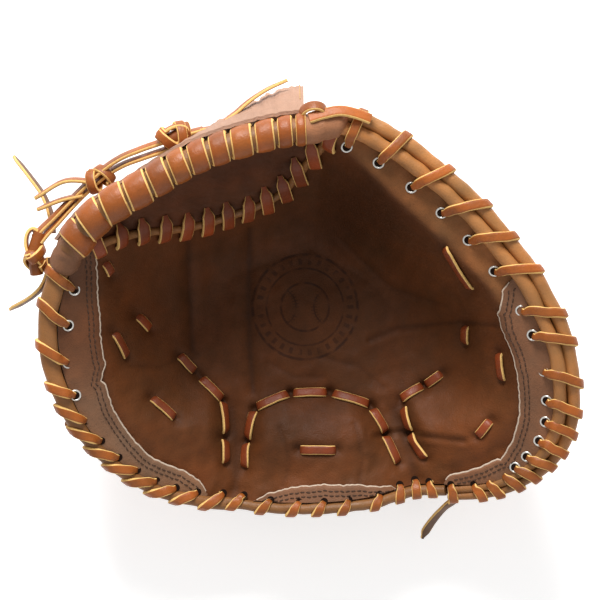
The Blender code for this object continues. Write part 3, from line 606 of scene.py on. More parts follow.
def make_looks():
    """Every material of the mitt, by name."""
    return {
        "pocket": leather("pocket_hide", linear(104, 62, 33), 0.56, 0.5, 0.5, 0.22, specular=0.15),
        "band": leather("band_hide", linear(126, 90, 66), 0.55, 0.5, 0.4, 0.18, specular=0.25),
        "roll": leather("roll_hide", linear(168, 118, 68), 0.48, 0.4, 0.4, 0.2),
        "web": leather("web_hide", linear(96, 57, 34), 0.56, 0.5, 0.5, 0.25, specular=0.22),
        "back": leather("back_hide", linear(150, 104, 68), 0.55, 0.6, 0.5, 0.2),
        "suede": leather("web_back_hide", linear(184, 146, 124), 0.72, 0.5, 0.9, 0.14, (1.04, 1.0, 0.96),
                         specular=0.25),
        "lace": leather("lace_hide", linear(151, 84, 31), 0.42, 0.25, 0.6, 0.3, (1.15, 1.0, 0.85),
                        specular=0.4),
        "dash": leather("dash_hide", linear(128, 60, 27), 0.45, 0.25, 0.6, 0.3, (1.12, 0.95, 0.8),
                        specular=0.35),
        "tail": leather("tail_hide", linear(104, 76, 56), 0.55, 0.25, 0.5, 0.2),
        "raw": plain("raw_edge", linear(230, 186, 112), 0.8, 900.0, 0.18, 0.5),
        "raw_grey": plain("overlay_raw_edge", linear(196, 176, 156), 0.85, 900.0, 0.2, 0.6),
        "thread": plain("seam_thread", linear(70, 48, 34), 0.7, 2500.0, 0.3, 0.5),
        "pale_thread": plain("pale_thread", linear(186, 148, 102), 0.7, 2500.0, 0.25, 0.5),
        "eyelet": plain("eyelet_metal", linear(226, 224, 218), 0.3, 500.0, 0.06, 0.1, 0.65),
        # The dark in eyelet and lace holes is painted shade.
        "hole": plain("hole_painted_shade", linear(30, 18, 12), 0.9, 500.0, 0.2, 0.2, 0.0, 0.1),
        "felt": felt("wool_felt", linear(205, 196, 178)),
        "fleece": felt("strap_fleece", linear(222, 202, 166), 420.0),
        "lining": leather("lining_hide", linear(190, 144, 100), 0.7, 0.4, 0.5, 0.15, (1.04, 1.0, 0.95),
                          specular=0.25),
        "plastic": plain("shield_plastic", linear(44, 44, 48), 0.45, 400.0, 0.15, 0.15),
    }


# ---------------------------------------------------------------- mesh helpers

class Shape:
    """Vertices, faces, face materials and tones that gather into one piece."""

    def __init__(self):
        self.points = []
        self.faces = []
        self.slots = []
        self.tones = []
        self.count = 0

    def add(self, points, faces, slots, tones=None):
        """One more closed body."""
        points = np.asarray(points, float).reshape(-1, 3)
        if tones is None:
            tones = np.ones((len(points), 3))
        self.points.append(points)
        self.tones.append(np.asarray(tones, float).reshape(-1, 3))
        self.faces += [tuple(i + self.count for i in face) for face in faces]
        self.slots += list(slots)
        self.count += len(points)

    def make(self, name, materials, sharp=55.0):
        """The piece as an object in the scene."""
        mesh = bpy.data.meshes.new(name)
        mesh.from_pydata(world(np.vstack(self.points)).tolist(), [], self.faces)
        for material in materials:
            mesh.materials.append(material)
        mesh.polygons.foreach_set("material_index", np.array(self.slots, np.int32))
        tones = np.vstack(self.tones)
        attribute = mesh.attributes.new("tone", "FLOAT_COLOR", "POINT")
        attribute.data.foreach_set("color", np.c_[tones, np.ones(len(tones))].ravel().astype(np.float32))
        solid = bmesh.new()
        solid.from_mesh(mesh)
        bmesh.ops.recalc_face_normals(solid, faces=solid.faces)
        solid.to_mesh(mesh)
        solid.free()
        mesh.shade_smooth()
        mesh.set_sharp_from_angle(angle=math.radians(sharp))
        piece = bpy.data.objects.new(name, mesh)
        bpy.context.scene.collection.objects.link(piece)
        return piece


def add_slab(shape, top, bottom, edge_slot=0, tones=None):
    """Closed slab between two grids of points, rows by columns.

    Tones are a number, a grid of numbers or a grid of colours; the bottom's are darker, a painted shade.
    """
    rows, columns = top.shape[:2]
    half = rows * columns
    if tones is not None:
        tones = np.asarray(tones, float)
        tones = np.broadcast_to(tones[..., None] if tones.ndim == 2 else tones, top.shape).reshape(-1, 3)
        # The bottom grid is painted darker, as painted shade.
        tones = np.vstack([tones, tones * 0.8])
    faces = []
    for j in range(rows - 1):
        for i in range(columns - 1):
            a, b = j * columns + i, j * columns + i + 1
            faces.append((a, b, b + columns, a + columns))
            faces.append((a + half, a + columns + half, b + columns + half, b + half))
    slots = [0] * len(faces)
    borders = []
    for i in range(columns - 1):
        borders.append((i, i + 1))
        last = (rows - 1) * columns
        borders.append((last + i + 1, last + i))
    for j in range(rows - 1):
        borders.append(((j + 1) * columns, j * columns))
        borders.append((j * columns + columns - 1, (j + 1) * columns + columns - 1))
    for a, b in borders:
        faces.append((b, a, a + half, b + half))
        slots.append(edge_slot)
    shape.add(np.vstack([top.reshape(-1, 3), bottom.reshape(-1, 3)]), faces, slots, tones)


def unit(vectors):
    """Vectors scaled to length one."""
    return vectors / np.maximum(np.linalg.norm(vectors, axis=-1, keepdims=True), 1e-9)


def curve_through(points, spacing):
    """Points about a spacing apart on a smooth curve through a route's points.

    Columns past the third, such as the direction a lace faces, are carried along.
    """
    route = [np.asarray(p, float) for p in points]
    route = [2 * route[0] - route[1]] + route + [2 * route[-1] - route[-2]]
    result = [route[1]]
    for a, b, c, d in zip(route, route[1:], route[2:], route[3:]):
        steps = max(1, round(float(np.linalg.norm(c[:3] - b[:3])) / spacing))
        for k in range(1, steps + 1):
            t = k / steps
            result.append(0.5 * (2 * b + (c - a) * t + (2 * a - 5 * b + 4 * c - d) * t * t
                                 + (3 * b - a - 3 * c + d) * t**3))
    return np.array(result)


def travelled_along(path):
    """Distance from a path's start to each of its points."""
    return np.concatenate([[0], np.cumsum(np.linalg.norm(np.diff(path, axis=0), axis=1))])


def per_ring(values, count, width):
    """Values for each ring of a sweep, from a number, a number per ring, or a row per ring."""
    values = np.asarray(values, float)
    if values.ndim == 0:
        values = np.full(count, values)
    return values.reshape(count, -1) * np.ones((1, width))


def add_sweep(shape, path, profile, slots, ups, scale=1.0, tones=1.0, cap_slot=None):
    """A profile of (side, up) points swept along a path; each ring may be scaled."""
    path = np.asarray(path, float)
    count = len(path)
    tangents = unit(np.gradient(path, axis=0))
    ups = np.broadcast_to(np.asarray(ups, float), path.shape)
    ups = unit(ups - tangents * np.sum(ups * tangents, -1, keepdims=True))
    sides = np.cross(tangents, ups)
    profile = np.asarray(profile, float)
    ring = len(profile)
    if isinstance(slots, int):
        slots = [slots] * ring
    scale = per_ring(scale, count, 2)
    points = (path[:, None] + sides[:, None] * (profile[None, :, :1] * scale[:, None, :1])
              + ups[:, None] * (profile[None, :, 1:] * scale[:, None, 1:]))
    faces, face_slots = [], []
    for k in range(count - 1):
        for i in range(ring):
            a, b = k * ring + i, k * ring + (i + 1) % ring
            faces.append((a, b, b + ring, a + ring))
            face_slots.append(slots[i])
    faces.append(tuple(range(ring))[::-1])
    faces.append(tuple((count - 1) * ring + i for i in range(ring)))
    face_slots += [slots[0] if cap_slot is None else cap_slot] * 2
    shape.add(points, faces, face_slots, np.repeat(per_ring(tones, count, 3), ring, axis=0))


def lace_profile(width, thickness):
    """Cross-section of a flat lace with soft corners, and its slots: 0 grain, 1 pale cut edge."""
    w, t = width / 2, thickness / 2
    points = [(w, -0.6 * t), (w, 0.55 * t), (0.86 * w, t), (0.4 * w, 1.12 * t), (-0.4 * w, 1.12 * t),
              (-0.86 * w, t), (-w, 0.55 * t), (-w, -0.6 * t), (-0.84 * w, -t), (0.84 * w, -t)]
    slots = [1, 1, 0, 0, 0, 1, 1, 0, 0, 0]
    return points, slots


def add_lace(shape, path, width, thickness, ups, scale=1.0, tones=1.0, cap_slot=1):
    """A flat lace along a path, its cut edges and ends pale."""
    profile, slots = lace_profile(width, thickness)
    add_sweep(shape, path, profile, slots, ups, scale, tones, cap_slot)


def round_profile(radius, count=14, squash=1.0):
    """Cross-section of a round or flattened roll."""
    angles = np.arange(count) * 2 * math.pi / count
    return [(radius * math.cos(a), radius * squash * math.sin(a)) for a in angles]


def add_ring(shape, centre, normal, radius, thickness, slot=0):
    """An eyelet: a rounded metal ring on a surface, with a dark disc in its hole as painted shade."""
    normal = np.asarray(normal, float)
    first = unit(np.cross(normal, (0.31, 0.87, 0.38)))
    second = np.cross(normal, first)
    around, section = 22, 8
    points, faces = [], []
    for k in range(around):
        turn = 2 * math.pi * k / around
        spoke = first * math.cos(turn) + second * math.sin(turn)
        for i in range(section):
            bend = 2 * math.pi * i / section
            points.append(centre + spoke * (radius + thickness * math.cos(bend))
                          + normal * thickness * 0.75 * math.sin(bend))
    for k in range(around):
        for i in range(section):
            a, b = k * section + i, k * section + (i + 1) % section
            c, d = ((k + 1) % around) * section + (i + 1) % section, ((k + 1) % around) * section + i
            faces.append((a, b, c, d))
    shape.add(points, faces, [slot] * len(faces))
    turns = [2 * math.pi * k / around for k in range(around)]
    disc = [centre + (first * math.cos(turn) + second * math.sin(turn)) * radius + normal * 0.12
            for turn in turns]
    disc += [p - normal * 0.8 for p in disc]
    faces = [tuple(range(around)), tuple(range(2 * around - 1, around - 1, -1))]
    faces += [(k, k + around, (k + 1) % around + around, (k + 1) % around) for k in range(around)]
    shape.add(disc, faces, [1] * len(faces))


def add_stitches(shape, path, ups, pitch=3.2, length=2.3, radius=0.32):
    """Single thread stitches end to end along a path on a surface."""
    path = np.asarray(path, float)
    ups = np.broadcast_to(np.asarray(ups, float), path.shape)
    travelled = travelled_along(path)
    spots = np.arange(pitch / 2, travelled[-1], pitch)
    offsets = (-0.5, -0.3, 0.0, 0.3, 0.5)
    lifts = (-0.25, 0.18, 0.3, 0.18, -0.25)
    profile = round_profile(radius, 6)
    for spot in spots:
        along = spot + np.array(offsets) * length
        points = np.stack([np.interp(along, travelled, path[:, i]) for i in range(3)], -1)
        up = np.array([np.interp(spot, travelled, ups[:, i]) for i in range(3)])
        points = points + up * np.array(lifts)[:, None]
        add_sweep(shape, points, profile, 0, ups=up)


def dress(piece, slot, follow, *nodes):
    """Let a piece follow its body or bend, and hide the CAD nodes it replaces; the slot is not used."""
    if nodes:
        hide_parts(*nodes)
    if callable(follow):
        follow(piece)
    else:
        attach(piece, follow)


# ---------------------------------------------------------------- which side follows which body

THUMB_WAY = np.array([-0.998, 0.0616])       # square to the thumb's fold, away from the palm
FINGER_WAY = np.array([0.885, 0.465])
THUMB_MIDDLE = np.array([-35.0, -29.0])
FINGER_MIDDLE = np.array([25.5, -25.0])


def bend_thumb(piece, start=0.0, end=30.0):
    """The piece follows the palm up to the thumb's fold, and the thumb beyond it."""
    a, b = THUMB_MIDDLE + THUMB_WAY * start, THUMB_MIDDLE + THUMB_WAY * end
    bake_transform(piece, "palm", "thumb", start=tuple(world((*a, 0))), end=tuple(world((*b, 0))))


def bend_fingers(piece, start=0.0, end=30.0):
    """The piece follows the palm up to the fingers' fold, and the fingers beyond it."""
    a, b = FINGER_MIDDLE + FINGER_WAY * start, FINGER_MIDDLE + FINGER_WAY * end
    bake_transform(piece, "palm", "fingers", start=tuple(world((*a, 0))), end=tuple(world((*b, 0))))


SPLIT_TOP = 112.0            # azimuth at which the thumb's half meets the fingers' half
SPLIT_HEEL = 276.0


def half_azimuths(side, count):
    """Azimuths of one half of the mitt, from the web's split round to the heel's."""
    if side == "thumb":
        return np.linspace(SPLIT_TOP, SPLIT_HEEL, count)
    return np.linspace(SPLIT_TOP, SPLIT_HEEL - 360.0, count)


# ---------------------------------------------------------------- pocket leather

# How far inside the rim's centre line the leather's edge lies: azimuth and inset.
LEATHER_REACH = ((-60, 3.0), (-40, 2.2), (-30, 4.2), (-15, 5.6), (80, 5.0), (166, 4.6), (192, 4.4),
                 (204, 2.8), (214, 0.6), (240, 0.6), (250, 2.0), (300, 3.0))


def leather_reach(azimuth):
    """How far inside the rim the leather's edge lies, for azimuths of any turn."""
    azimuth = (np.asarray(azimuth, float) + 60.0) % 360 - 60.0
    return rim_column(LEATHER_REACH, azimuth, 1)


def leather_edge(azimuth):
    """Radius of the pocket leather's outer edge."""
    azimuth = np.asarray(azimuth, float) % 360
    at_rim = inset_radius(azimuth, leather_reach(azimuth))
    seam = web_seam_radius(azimuth) - 0.3
    inside = (azimuth > WEB_SEAM[0][0]) & (azimuth < WEB_SEAM[-1][0])
    return np.where(inside, np.minimum(seam, at_rim), at_rim)


def stroke(value, at, half):
    """1 where a value is within half of at, with a soft edge."""
    return smooth((half - np.abs(value - at)) / 0.45 + 0.5)


def stamp_ink(x, y):
    """Share of ink of the round stamp in the palm: two rings, ticks between them, and a ball."""
    x, y = x - 0.1, y + 2.8
    radius = np.hypot(x, y)
    turn = np.degrees(np.arctan2(y, x))
    ink = np.maximum(stroke(radius, 29.4, 0.75), stroke(radius, 21.6, 0.5))
    tick = smooth((np.cos(np.radians(turn * 30)) - 0.15) / 0.35)
    ink = np.maximum(ink, tick * stroke(radius, 25.5, 1.7) * 0.8)
    ink = np.maximum(ink, stroke(radius, 13.5, 0.6))
    for side in (-1, 1):
        seam = np.hypot(x - side * 16.0, y)
        ink = np.maximum(ink, stroke(seam, 11.0, 0.4) * (radius < 13.5))
        angle = np.degrees(np.arctan2(y, side * 16.0 - x))
        cross = smooth((np.cos(np.radians(angle * 40)) - 0.55) / 0.3)
        ink = np.maximum(ink, cross * stroke(seam, 11.0, 1.6) * (radius < 13.0))
    patchy = smooth(0.75 + 0.5 * ripple(x, y, 9.0, 21))
    return ink * patchy


def pocket_tone(x, y):
    """Colour multiplier of the pocket leather: darker towards the centre, partly oil and partly painted
    shade; painted shade under the web and the fingers' wall, in the creases and along the lace dashes;
    painted light towards the heel; darker over the heel pad; random mottling, the greyer band along the
    fingers' rim, and the stamp's ink.
    """
    values, share = polar(x, y)
    azimuth = np.degrees(np.arctan2(y, x))
    # Darker towards the centre: partly oil worked into the hide, partly painted shade of the deep pocket.
    dirt_and_shade = 0.60 + 0.30 * smooth((share - 0.25) / 0.65)
    # Painted shade from the web and the fingers' wall over the upper pocket.
    dirt_and_shade = dirt_and_shade * (1 - 0.42 * np.exp(-((x - 28) / 30)**2 - ((y - 52) / 26)**2))
    dirt_and_shade = dirt_and_shade * (1 - 0.35 * np.exp(-(x / 34)**2 - ((y + 72) / 20)**2))
    # Painted light towards the heel, which faces the lamp, and painted shade towards the web.
    dirt_and_shade = dirt_and_shade * (1 + 0.10 * smooth((-30 - y) / 60)) * (1 - 0.10 * smooth((y - 5) / 50))
    dirt_and_shade = dirt_and_shade * (1 + 0.07 * ripple(x, y, 34.0, 31) + 0.04 * ripple(x, y, 11.0, 32))
    # Painted shade in the creases.
    for route, depth, width in CREASES:
        d = route_distance(x, y, route)
        dirt_and_shade = dirt_and_shade * (1 - 0.30 * min(depth, 1.2) * np.exp(-(d / (0.5 * width + 0.4))**2))
    # Painted shade along the lace dashes.
    for start, end in PALM_DASHES + THUMB_DASHES + FINGER_DASHES:
        d = route_distance(x, y, (start, end))
        dirt_and_shade = dirt_and_shade * (1 - 0.28 * np.exp(-(d / 4.0)**2))
    tone = dirt_and_shade[..., None] * np.ones(3)
    band = smooth((share - values["fold"]) / 0.07 + 0.2)
    band = band * smooth((88 - azimuth) / 8) * smooth((azimuth + 20) / 16)
    tone = tone * (1 + band[..., None] * np.array([1.2, 1.8, 2.4]))
    ink = (0.7 * stamp_ink(x, y))[..., None]
    return tone * (1 - ink) + ink * np.array([0.16, 0.14, 0.17])


def make_pocket(looks):
    """The pocket's hide, in two halves that bend with the thumb and the fingers."""
    rings = np.concatenate([np.linspace(0.0006, 0.30, 76), np.linspace(0.305, 1.0, 118)])
    for side, columns, bend in (("thumb", 330, bend_thumb), ("fingers", 390, bend_fingers)):
        azimuth = half_azimuths(side, columns)[None, :]
        radius = leather_edge(azimuth) * rings[:, None]
        x, y = plan(azimuth, radius)
        top = np.stack([x, y, skin_height(x, y)], -1)
        normal = skin_normal(x, y, face_height)
        bottom = top - normal * HIDE_THICKNESS
        shape = Shape()
        add_slab(shape, top, bottom, tones=pocket_tone(x, y))
        piece = shape.make("pocket_hide_" + side, [looks["pocket"]])
        dress(piece, "pocket_leather", bend, "palm_leather")


# ---------------------------------------------------------------- overlays

OVERLAY_ROWS = 16
OVERLAY_PITCH = 0.9          # about the width of a column of an overlay's grid
OVERLAY_DEPTH = 2.6


def overlay_azimuths(route):
    """Azimuths and radii of an overlay's inner edge."""
    azimuth = np.array([math.degrees(math.atan2(y, x)) % 360 for x, y in route])
    radius = np.array([math.hypot(x, y) for x, y in route])
    if azimuth.max() - azimuth.min() > 180:
        azimuth = np.where(azimuth < 180, azimuth + 360, azimuth)
    order = np.argsort(azimuth)
    return azimuth[order], radius[order]


def overlay_grid(route, depth):
    """Grid of an overlay from its inner edge (row 0) to the rim, a depth above the pocket hide."""
    azimuths, radii = overlay_azimuths(route)
    columns = int((azimuths[-1] - azimuths[0]) * 2.3 / OVERLAY_PITCH)
    azimuth = np.linspace(azimuths[0], azimuths[-1], columns)[None, :]
    inner = np.interp(azimuth, azimuths, radii) + 0.25 * waver(azimuth * 2.3, 5.0, 41)
    outer = inset_radius(azimuth, leather_reach(azimuth) + 0.4)
    u = np.linspace(0, 1, OVERLAY_ROWS)[:, None]
    x, y = plan(azimuth, inner + (outer - inner) * u)
    surface = face_height(x, y) + 0.35 * ripple(x, y, 30.0, 43) + 0.3 * detail(x, y)
    normal = skin_normal(x, y, face_height)
    return x, y, np.stack([x, y, surface], -1) + normal * depth, normal, u


def make_overlays(looks):
    """The three stitched overlays along the rim."""
    for name, route, body, node in (("thumb_band", THUMB_EDGE, "thumb", "thumb_overlay"),
                                    ("finger_band", FINGER_EDGE, "fingers", "finger_overlay"),
                                    ("heel_band", HEEL_EDGE, "palm", "heel_overlay")):
        x, y, top, normal, u = overlay_grid(route, OVERLAY_DEPTH)
        rounded = 0.9 * np.exp(-(u / 0.05)**2)
        top = top - normal * rounded[..., None]
        bottom = top - normal * (2.4 - rounded)[..., None]
        tone = (0.96 + 0.05 * ripple(x, y, 22.0, 51) + 0.03 * ripple(x, y, 8.0, 52))[..., None]
        # The thumb band is darker towards the web, painted shade where it faces away from the lamp, and
        # greyer pink towards the heel, its own colour.
        if body == "thumb":
            low = smooth((np.degrees(np.arctan2(y, x)) % 360 - 188) / 26)[..., None]
            tone = tone * ((1 - low) * np.array([0.62, 0.52, 0.42]) + low * np.array([1.05, 1.22, 1.35]))
        shape = Shape()
        add_slab(shape, top, bottom, 1, tone)
        piece = shape.make(name, [looks["band"], looks["raw_grey"]], 40.0)
        dress(piece, "rim_leather", body, node)
        edge = Shape()
        lip = top[0] - normal[0] * 0.35
        add_sweep(edge, lip[2:-2], round_profile(0.62, 8), 0, ups=normal[0][2:-2])
        piece = edge.make(name + "_raw_edge", [looks["raw_grey"]])
        dress(piece, "rim_leather", body)
        stitches = Shape()
        span = np.linalg.norm(top[-1] - top[0], axis=-1)
        for inset in (3.2, 5.8):
            share = np.clip(inset / np.maximum(span, 1.0), 0, 0.9)
            row = np.clip(share * (top.shape[0] - 1), 0, top.shape[0] - 1.001)
            low = row.astype(int)
            part = (row - low)[:, None]
            columns = np.arange(top.shape[1])
            path = top[low, columns] * (1 - part) + top[low + 1, columns] * part
            keep = slice(6, -6)
            add_stitches(stitches, path[keep], normal[0][keep])
        piece = stitches.make(name + "_stitches", [looks["thread"]])
        dress(piece, "rim_leather", body)


# ---------------------------------------------------------------- rim rolls

# How the rim's section changes along it: azimuth, then each value there.
FINGER_RIM = ((-53, 0.55, 2.2), (-44, 0.62, 2.0), (-36, 0.75, 1.2), (-28, 0.95, 0.2), (-18, 1.0, -0.8),
              (2, 1.0, -0.9), (40, 1.0, -0.5), (70, 1.0, 0.0), (80, 1.0, 0.3))      # size, shift outwards
THUMB_RIM = ((164, 6.4, 0.5), (172, 5.6, 0.2), (190, 5.0, 0.0), (203, 4.4, 1.0), (214, 3.6, 2.2),
             (232, 3.4, 2.4), (248, 3.4, 1.8))      # half width, shift outwards
HEEL_ROLL = (2.9, 0.6)                                                            # radius, shift outwards


def make_finger_rolls(looks):
    """The two rolls along the fingers' rim."""
    azimuth = np.linspace(FINGER_SPAN[0] + 0.5, FINGER_SPAN[1] + 1.5, 420)
    size = rim_column(FINGER_RIM, azimuth, 1)
    shift = rim_column(FINGER_RIM, azimuth, 2)
    for name, out, up, node, seed in (("finger_roll_inner", -3.7, 0.2, "finger_inner_welt", 61),
                                      ("finger_roll_outer", 3.7, -0.9, "finger_outer_welt", 62)):
        wobble = 0.25 * waver(azimuth, 14.0, seed)
        path = rim_place(azimuth, out * size + shift + wobble,
                         up + 0.3 * waver(azimuth, 9.0, seed + 5))
        swell = size * (1.0 + 0.05 * waver(azimuth, 6.0, seed + 9))
        tone = 1.0 - 0.35 * smooth((-12 - azimuth) / 30) + 0.08 * waver(azimuth, 8.0, seed + 3)
        shape = Shape()
        add_sweep(shape, path, round_profile(3.75, 18), 0, ups=(0, 0, 1),
                  scale=swell, tones=tone)
        piece = shape.make(name, [looks["roll"]])
        dress(piece, "rim_leather", "fingers", node)


def make_thumb_roll(looks):
    """The flattened roll along the thumb's rim."""
    azimuth = np.linspace(THUMB_SPAN[0] - 1.0, THUMB_SPAN[1] + 3.0, 360)
    path = rim_place(azimuth, rim_column(THUMB_RIM, azimuth, 2) + 0.3 * waver(azimuth, 12.0, 71),
                     0.4 + 0.3 * waver(azimuth, 8.0, 72))
    width = rim_column(THUMB_RIM, azimuth, 1) * (1.0 + 0.05 * waver(azimuth, 5.0, 73))
    tone = 0.70 - 0.16 * smooth((azimuth - 195) / 20) + 0.07 * waver(azimuth, 8.0, 74)
    shape = Shape()
    profile = [(math.copysign(abs(math.cos(a))**0.8, math.cos(a)), 3.3 * math.sin(a))
               for a in np.arange(22) * 2 * math.pi / 22]
    add_sweep(shape, path, profile, 0, ups=(0, 0, 1),
              scale=np.stack([width, np.ones_like(width)], -1), tones=tone)
    piece = shape.make("thumb_roll", [looks["roll"]])
    dress(piece, "rim_leather", "thumb", "thumb_edge_strip")


def make_heel_roll(looks):
    """The thin roll along the heel's rim."""
    azimuth = np.linspace(HEEL_SPAN[0] - 5.0, HEEL_SPAN[1] + 3.0, 200)
    radius, out = HEEL_ROLL
    path = rim_place(azimuth, out + 0.3 * waver(azimuth, 8.0, 75), 0.2)
    shape = Shape()
    add_sweep(shape, path, round_profile(radius, 18), 0, ups=(0, 0, 1),
              scale=1.0 + 0.04 * waver(azimuth, 5.0, 76),
              tones=0.55 + 0.06 * waver(azimuth, 8.0, 77))
    piece = shape.make("heel_roll", [looks["roll"]])
    dress(piece, "rim_leather", "palm", "heel_welt")


# ---------------------------------------------------------------- rim lacing

# Every crossing of the rim: azimuth, how far inside the rim its eyelet is, and how far
# clockwise the lace runs on its way over.
FINGER_LACES = (
    (75.0, 12.0, 3.0), (62.2, 12.4, 6.3), (47.2, 13.2, 9.0), (33.2, 13.2, 10.5), (20.8, 13.0, 9.0),
    (9.3, 12.8, 6.0), (-1.8, 12.4, 5.0), (-7.9, 12.2, 4.0), (-15.7, 11.4, 4.6), (-21.7, 10.4, 3.6),
    (-26.1, 9.4, 2.0), (-30.3, 8.2, 0.4), (-34.5, 7.2, -3.4), (-37.8, 5.6, -3.2), (-40.7, 4.2, -2.4),
    (-44.1, 3.2, -1.6), (-46.6, 3.0, -0.2), (-50.9, 3.2, 1.5),
)
THUMB_LACES = (
    (176.8, 9.8, 8.0), (185.3, 9.8, 12.0), (194.1, 7.8, 12.5), (201.8, 5.6, 9.5), (208.1, 3.4, 12.5),
    (213.9, 2.6, 13.5), (219.4, 2.6, 13.5), (224.7, 2.6, 13.0), (229.8, 2.8, 12.0), (235.0, 2.8, 11.0),
    (240.2, 3.2, 9.5), (246.5, 4.2, 8.0),
)
HEEL_LACES = (
    (305.1, 4.4, 1.5), (301.5, 5.2, 2.2), (297.2, 5.0, 3.0), (290.8, 3.4, 4.0), (282.5, 3.2, 4.8),
    (275.6, 3.2, 5.2), (268.7, 3.2, 5.5), (260.4, 3.6, 6.0), (253.0, 4.4, 7.0),
)
LACE_WIDTH = 5.3
LACE_HALF = LACE_THICKNESS / 2


def eyelet_at(azimuth, inset):
    """Point and normal of an eyelet in the rim's leather."""
    radius = inset_radius(np.array([azimuth]), inset)
    x, y = plan(np.array([azimuth]), radius)
    point, normal = on_skin(x, y, np.array([0.2]))
    return point[0], normal[0]


def back_hole(azimuth):
    """Where a rim lace goes into the back's leather, and the outward normal there."""
    values = station(azimuth)
    shares = np.linspace(0.75, 1.0, 80)
    radius, height = back_section({k: np.full(80, v) for k, v in values.items()}, shares)
    drop = np.hypot(radius[-1] - radius, height[-1] - height)
    share = float(np.interp(-8.0, -drop, shares))
    x, y = plan(azimuth, values["radius"] * share)
    point = back_place(np.array([x]), np.array([y]), 0.0)[0]
    normal = back_place(np.array([x]), np.array([y]), -1.0)[0] - point
    return point, unit(normal)


def rim_section(body, azimuth):
    """Where a lace lies over the rim's rolls: (outwards, upwards), from the inside out."""
    if body == "fingers":
        size, shift = rim_column(FINGER_RIM, azimuth, 1), rim_column(FINGER_RIM, azimuth, 2)
        knees = ((-8.0, 1.8), (-5.2, 4.4), (-0.8, 4.7), (3.6, 3.8), (7.2, 1.8), (8.2, -2.2))
        return [(out * size + shift, up * size + 0.2 * (1 - size)) for out, up in knees]
    if body == "thumb":
        half, shift = rim_column(THUMB_RIM, azimuth, 1), rim_column(THUMB_RIM, azimuth, 2)
        knees = ((-1.1, 2.3), (-0.72, 4.3), (0.0, 4.7), (0.66, 4.0), (1.05, 1.9), (1.18, -1.8))
        return [(out * half + shift, up) for out, up in knees]
    radius, shift = HEEL_ROLL
    return [((radius + LACE_HALF) * math.cos(turn) + shift, (radius + LACE_HALF) * math.sin(turn) + 0.2)
            for turn in np.radians((165, 130, 95, 60, 25, -25))]


def add_rim_lace(shape, rings, body, row, rng, lift=0.0):
    """One crossing of the rim: out of its eyelet, over the rolls, and into the back's leather."""
    azimuth, inset, slant = row
    hole, normal = eyelet_at(azimuth, inset)
    hole = hole + normal * lift
    centre = rim_place(azimuth, 0.0, 0.0)
    flat = rim_normal(azimuth)
    out = np.array([flat[0], flat[1], 0.0])
    aside = (hole - centre + out * inset) * (1, 1, 0)        # the eyelet's offset from the rim's normal
    section = rim_section(body, azimuth)
    reach = inset + section[-1][0]
    turn = math.degrees(slant / math.hypot(centre[0], centre[1]))
    behind, back_normal = back_hole(azimuth - turn * 0.95)
    over = rim_place(azimuth - turn * 0.6, reach * 0.6 - inset, 0.0)
    heading = unit((over - hole) * (1, 1, 0))
    jitter = rng.uniform(-0.5, 0.5, 4)
    root = hole + heading * 0.9
    knees = [(root - normal * 2.0, normal - 2.0 * heading),
             (root + normal * 0.5, normal - heading),
             (root + normal * 1.7 + heading * 1.2, normal - 0.3 * heading)]
    highest = int(np.argmax([up for _, up in section]))
    slopes = [(up + centre[2] - root[2]) / (beyond + inset) for beyond, up in section[:highest + 1]]
    section = section[int(np.argmax(slopes)):]
    for k, (outwards, upwards) in enumerate(section):
        before, after = section[max(k - 1, 0)], section[min(k + 1, len(section) - 1)]
        run, rise = after[0] - before[0], after[1] - before[1]
        share = (inset + outwards) / reach
        turned = azimuth - turn * share - jitter[k % 4] * 0.25
        flat = rim_normal(turned)
        spot = rim_place(turned, outwards, upwards) + aside * (1 - share)
        if (spot - root) @ heading > 2.4:
            knees.append((spot, np.array([-rise * flat[0], -rise * flat[1], run])))
    knees += [(behind + back_normal * 2.2 + np.array([0, 0, 3.6]), back_normal),
              (behind + back_normal * 0.9, back_normal),
              (behind - back_normal * 2.0 - np.array([0, 0, 1.0]), back_normal + np.array([0, 0, 1.0]))]
    rows = curve_through([np.concatenate([point, unit(up)]) for point, up in knees], 0.9)
    path, ups = rows[:, :3], rows[:, 3:]
    travelled = travelled_along(path)
    taper = 0.58 + 0.42 * smooth((travelled - 2.0) / 6.0)
    tone = 0.88 + 0.22 * rng.uniform() + 0.05 * np.sin(np.linspace(0, 5, len(path)))
    tint = np.stack([tone, tone * (0.96 + 0.06 * rng.uniform()), tone], -1)
    # Painted shade where the lace comes up out of its eyelet.
    tint *= (0.6 + 0.4 * smooth(travelled / 4.0))[:, None]
    add_lace(shape, path, LACE_WIDTH, LACE_THICKNESS, ups=ups,
             scale=np.stack([taper, np.ones_like(taper)], -1), tones=tint)
    if body != "palm" and inset > 5.0:
        add_ring(rings, hole, normal, 2.7, 0.5)
    else:
        # No eyelet here: the ring and its hole take the dark of painted shade.
        add_ring(rings, hole, normal, 1.9, 0.25, 1)
    add_ring(rings, behind, back_normal, 2.6, 0.5)


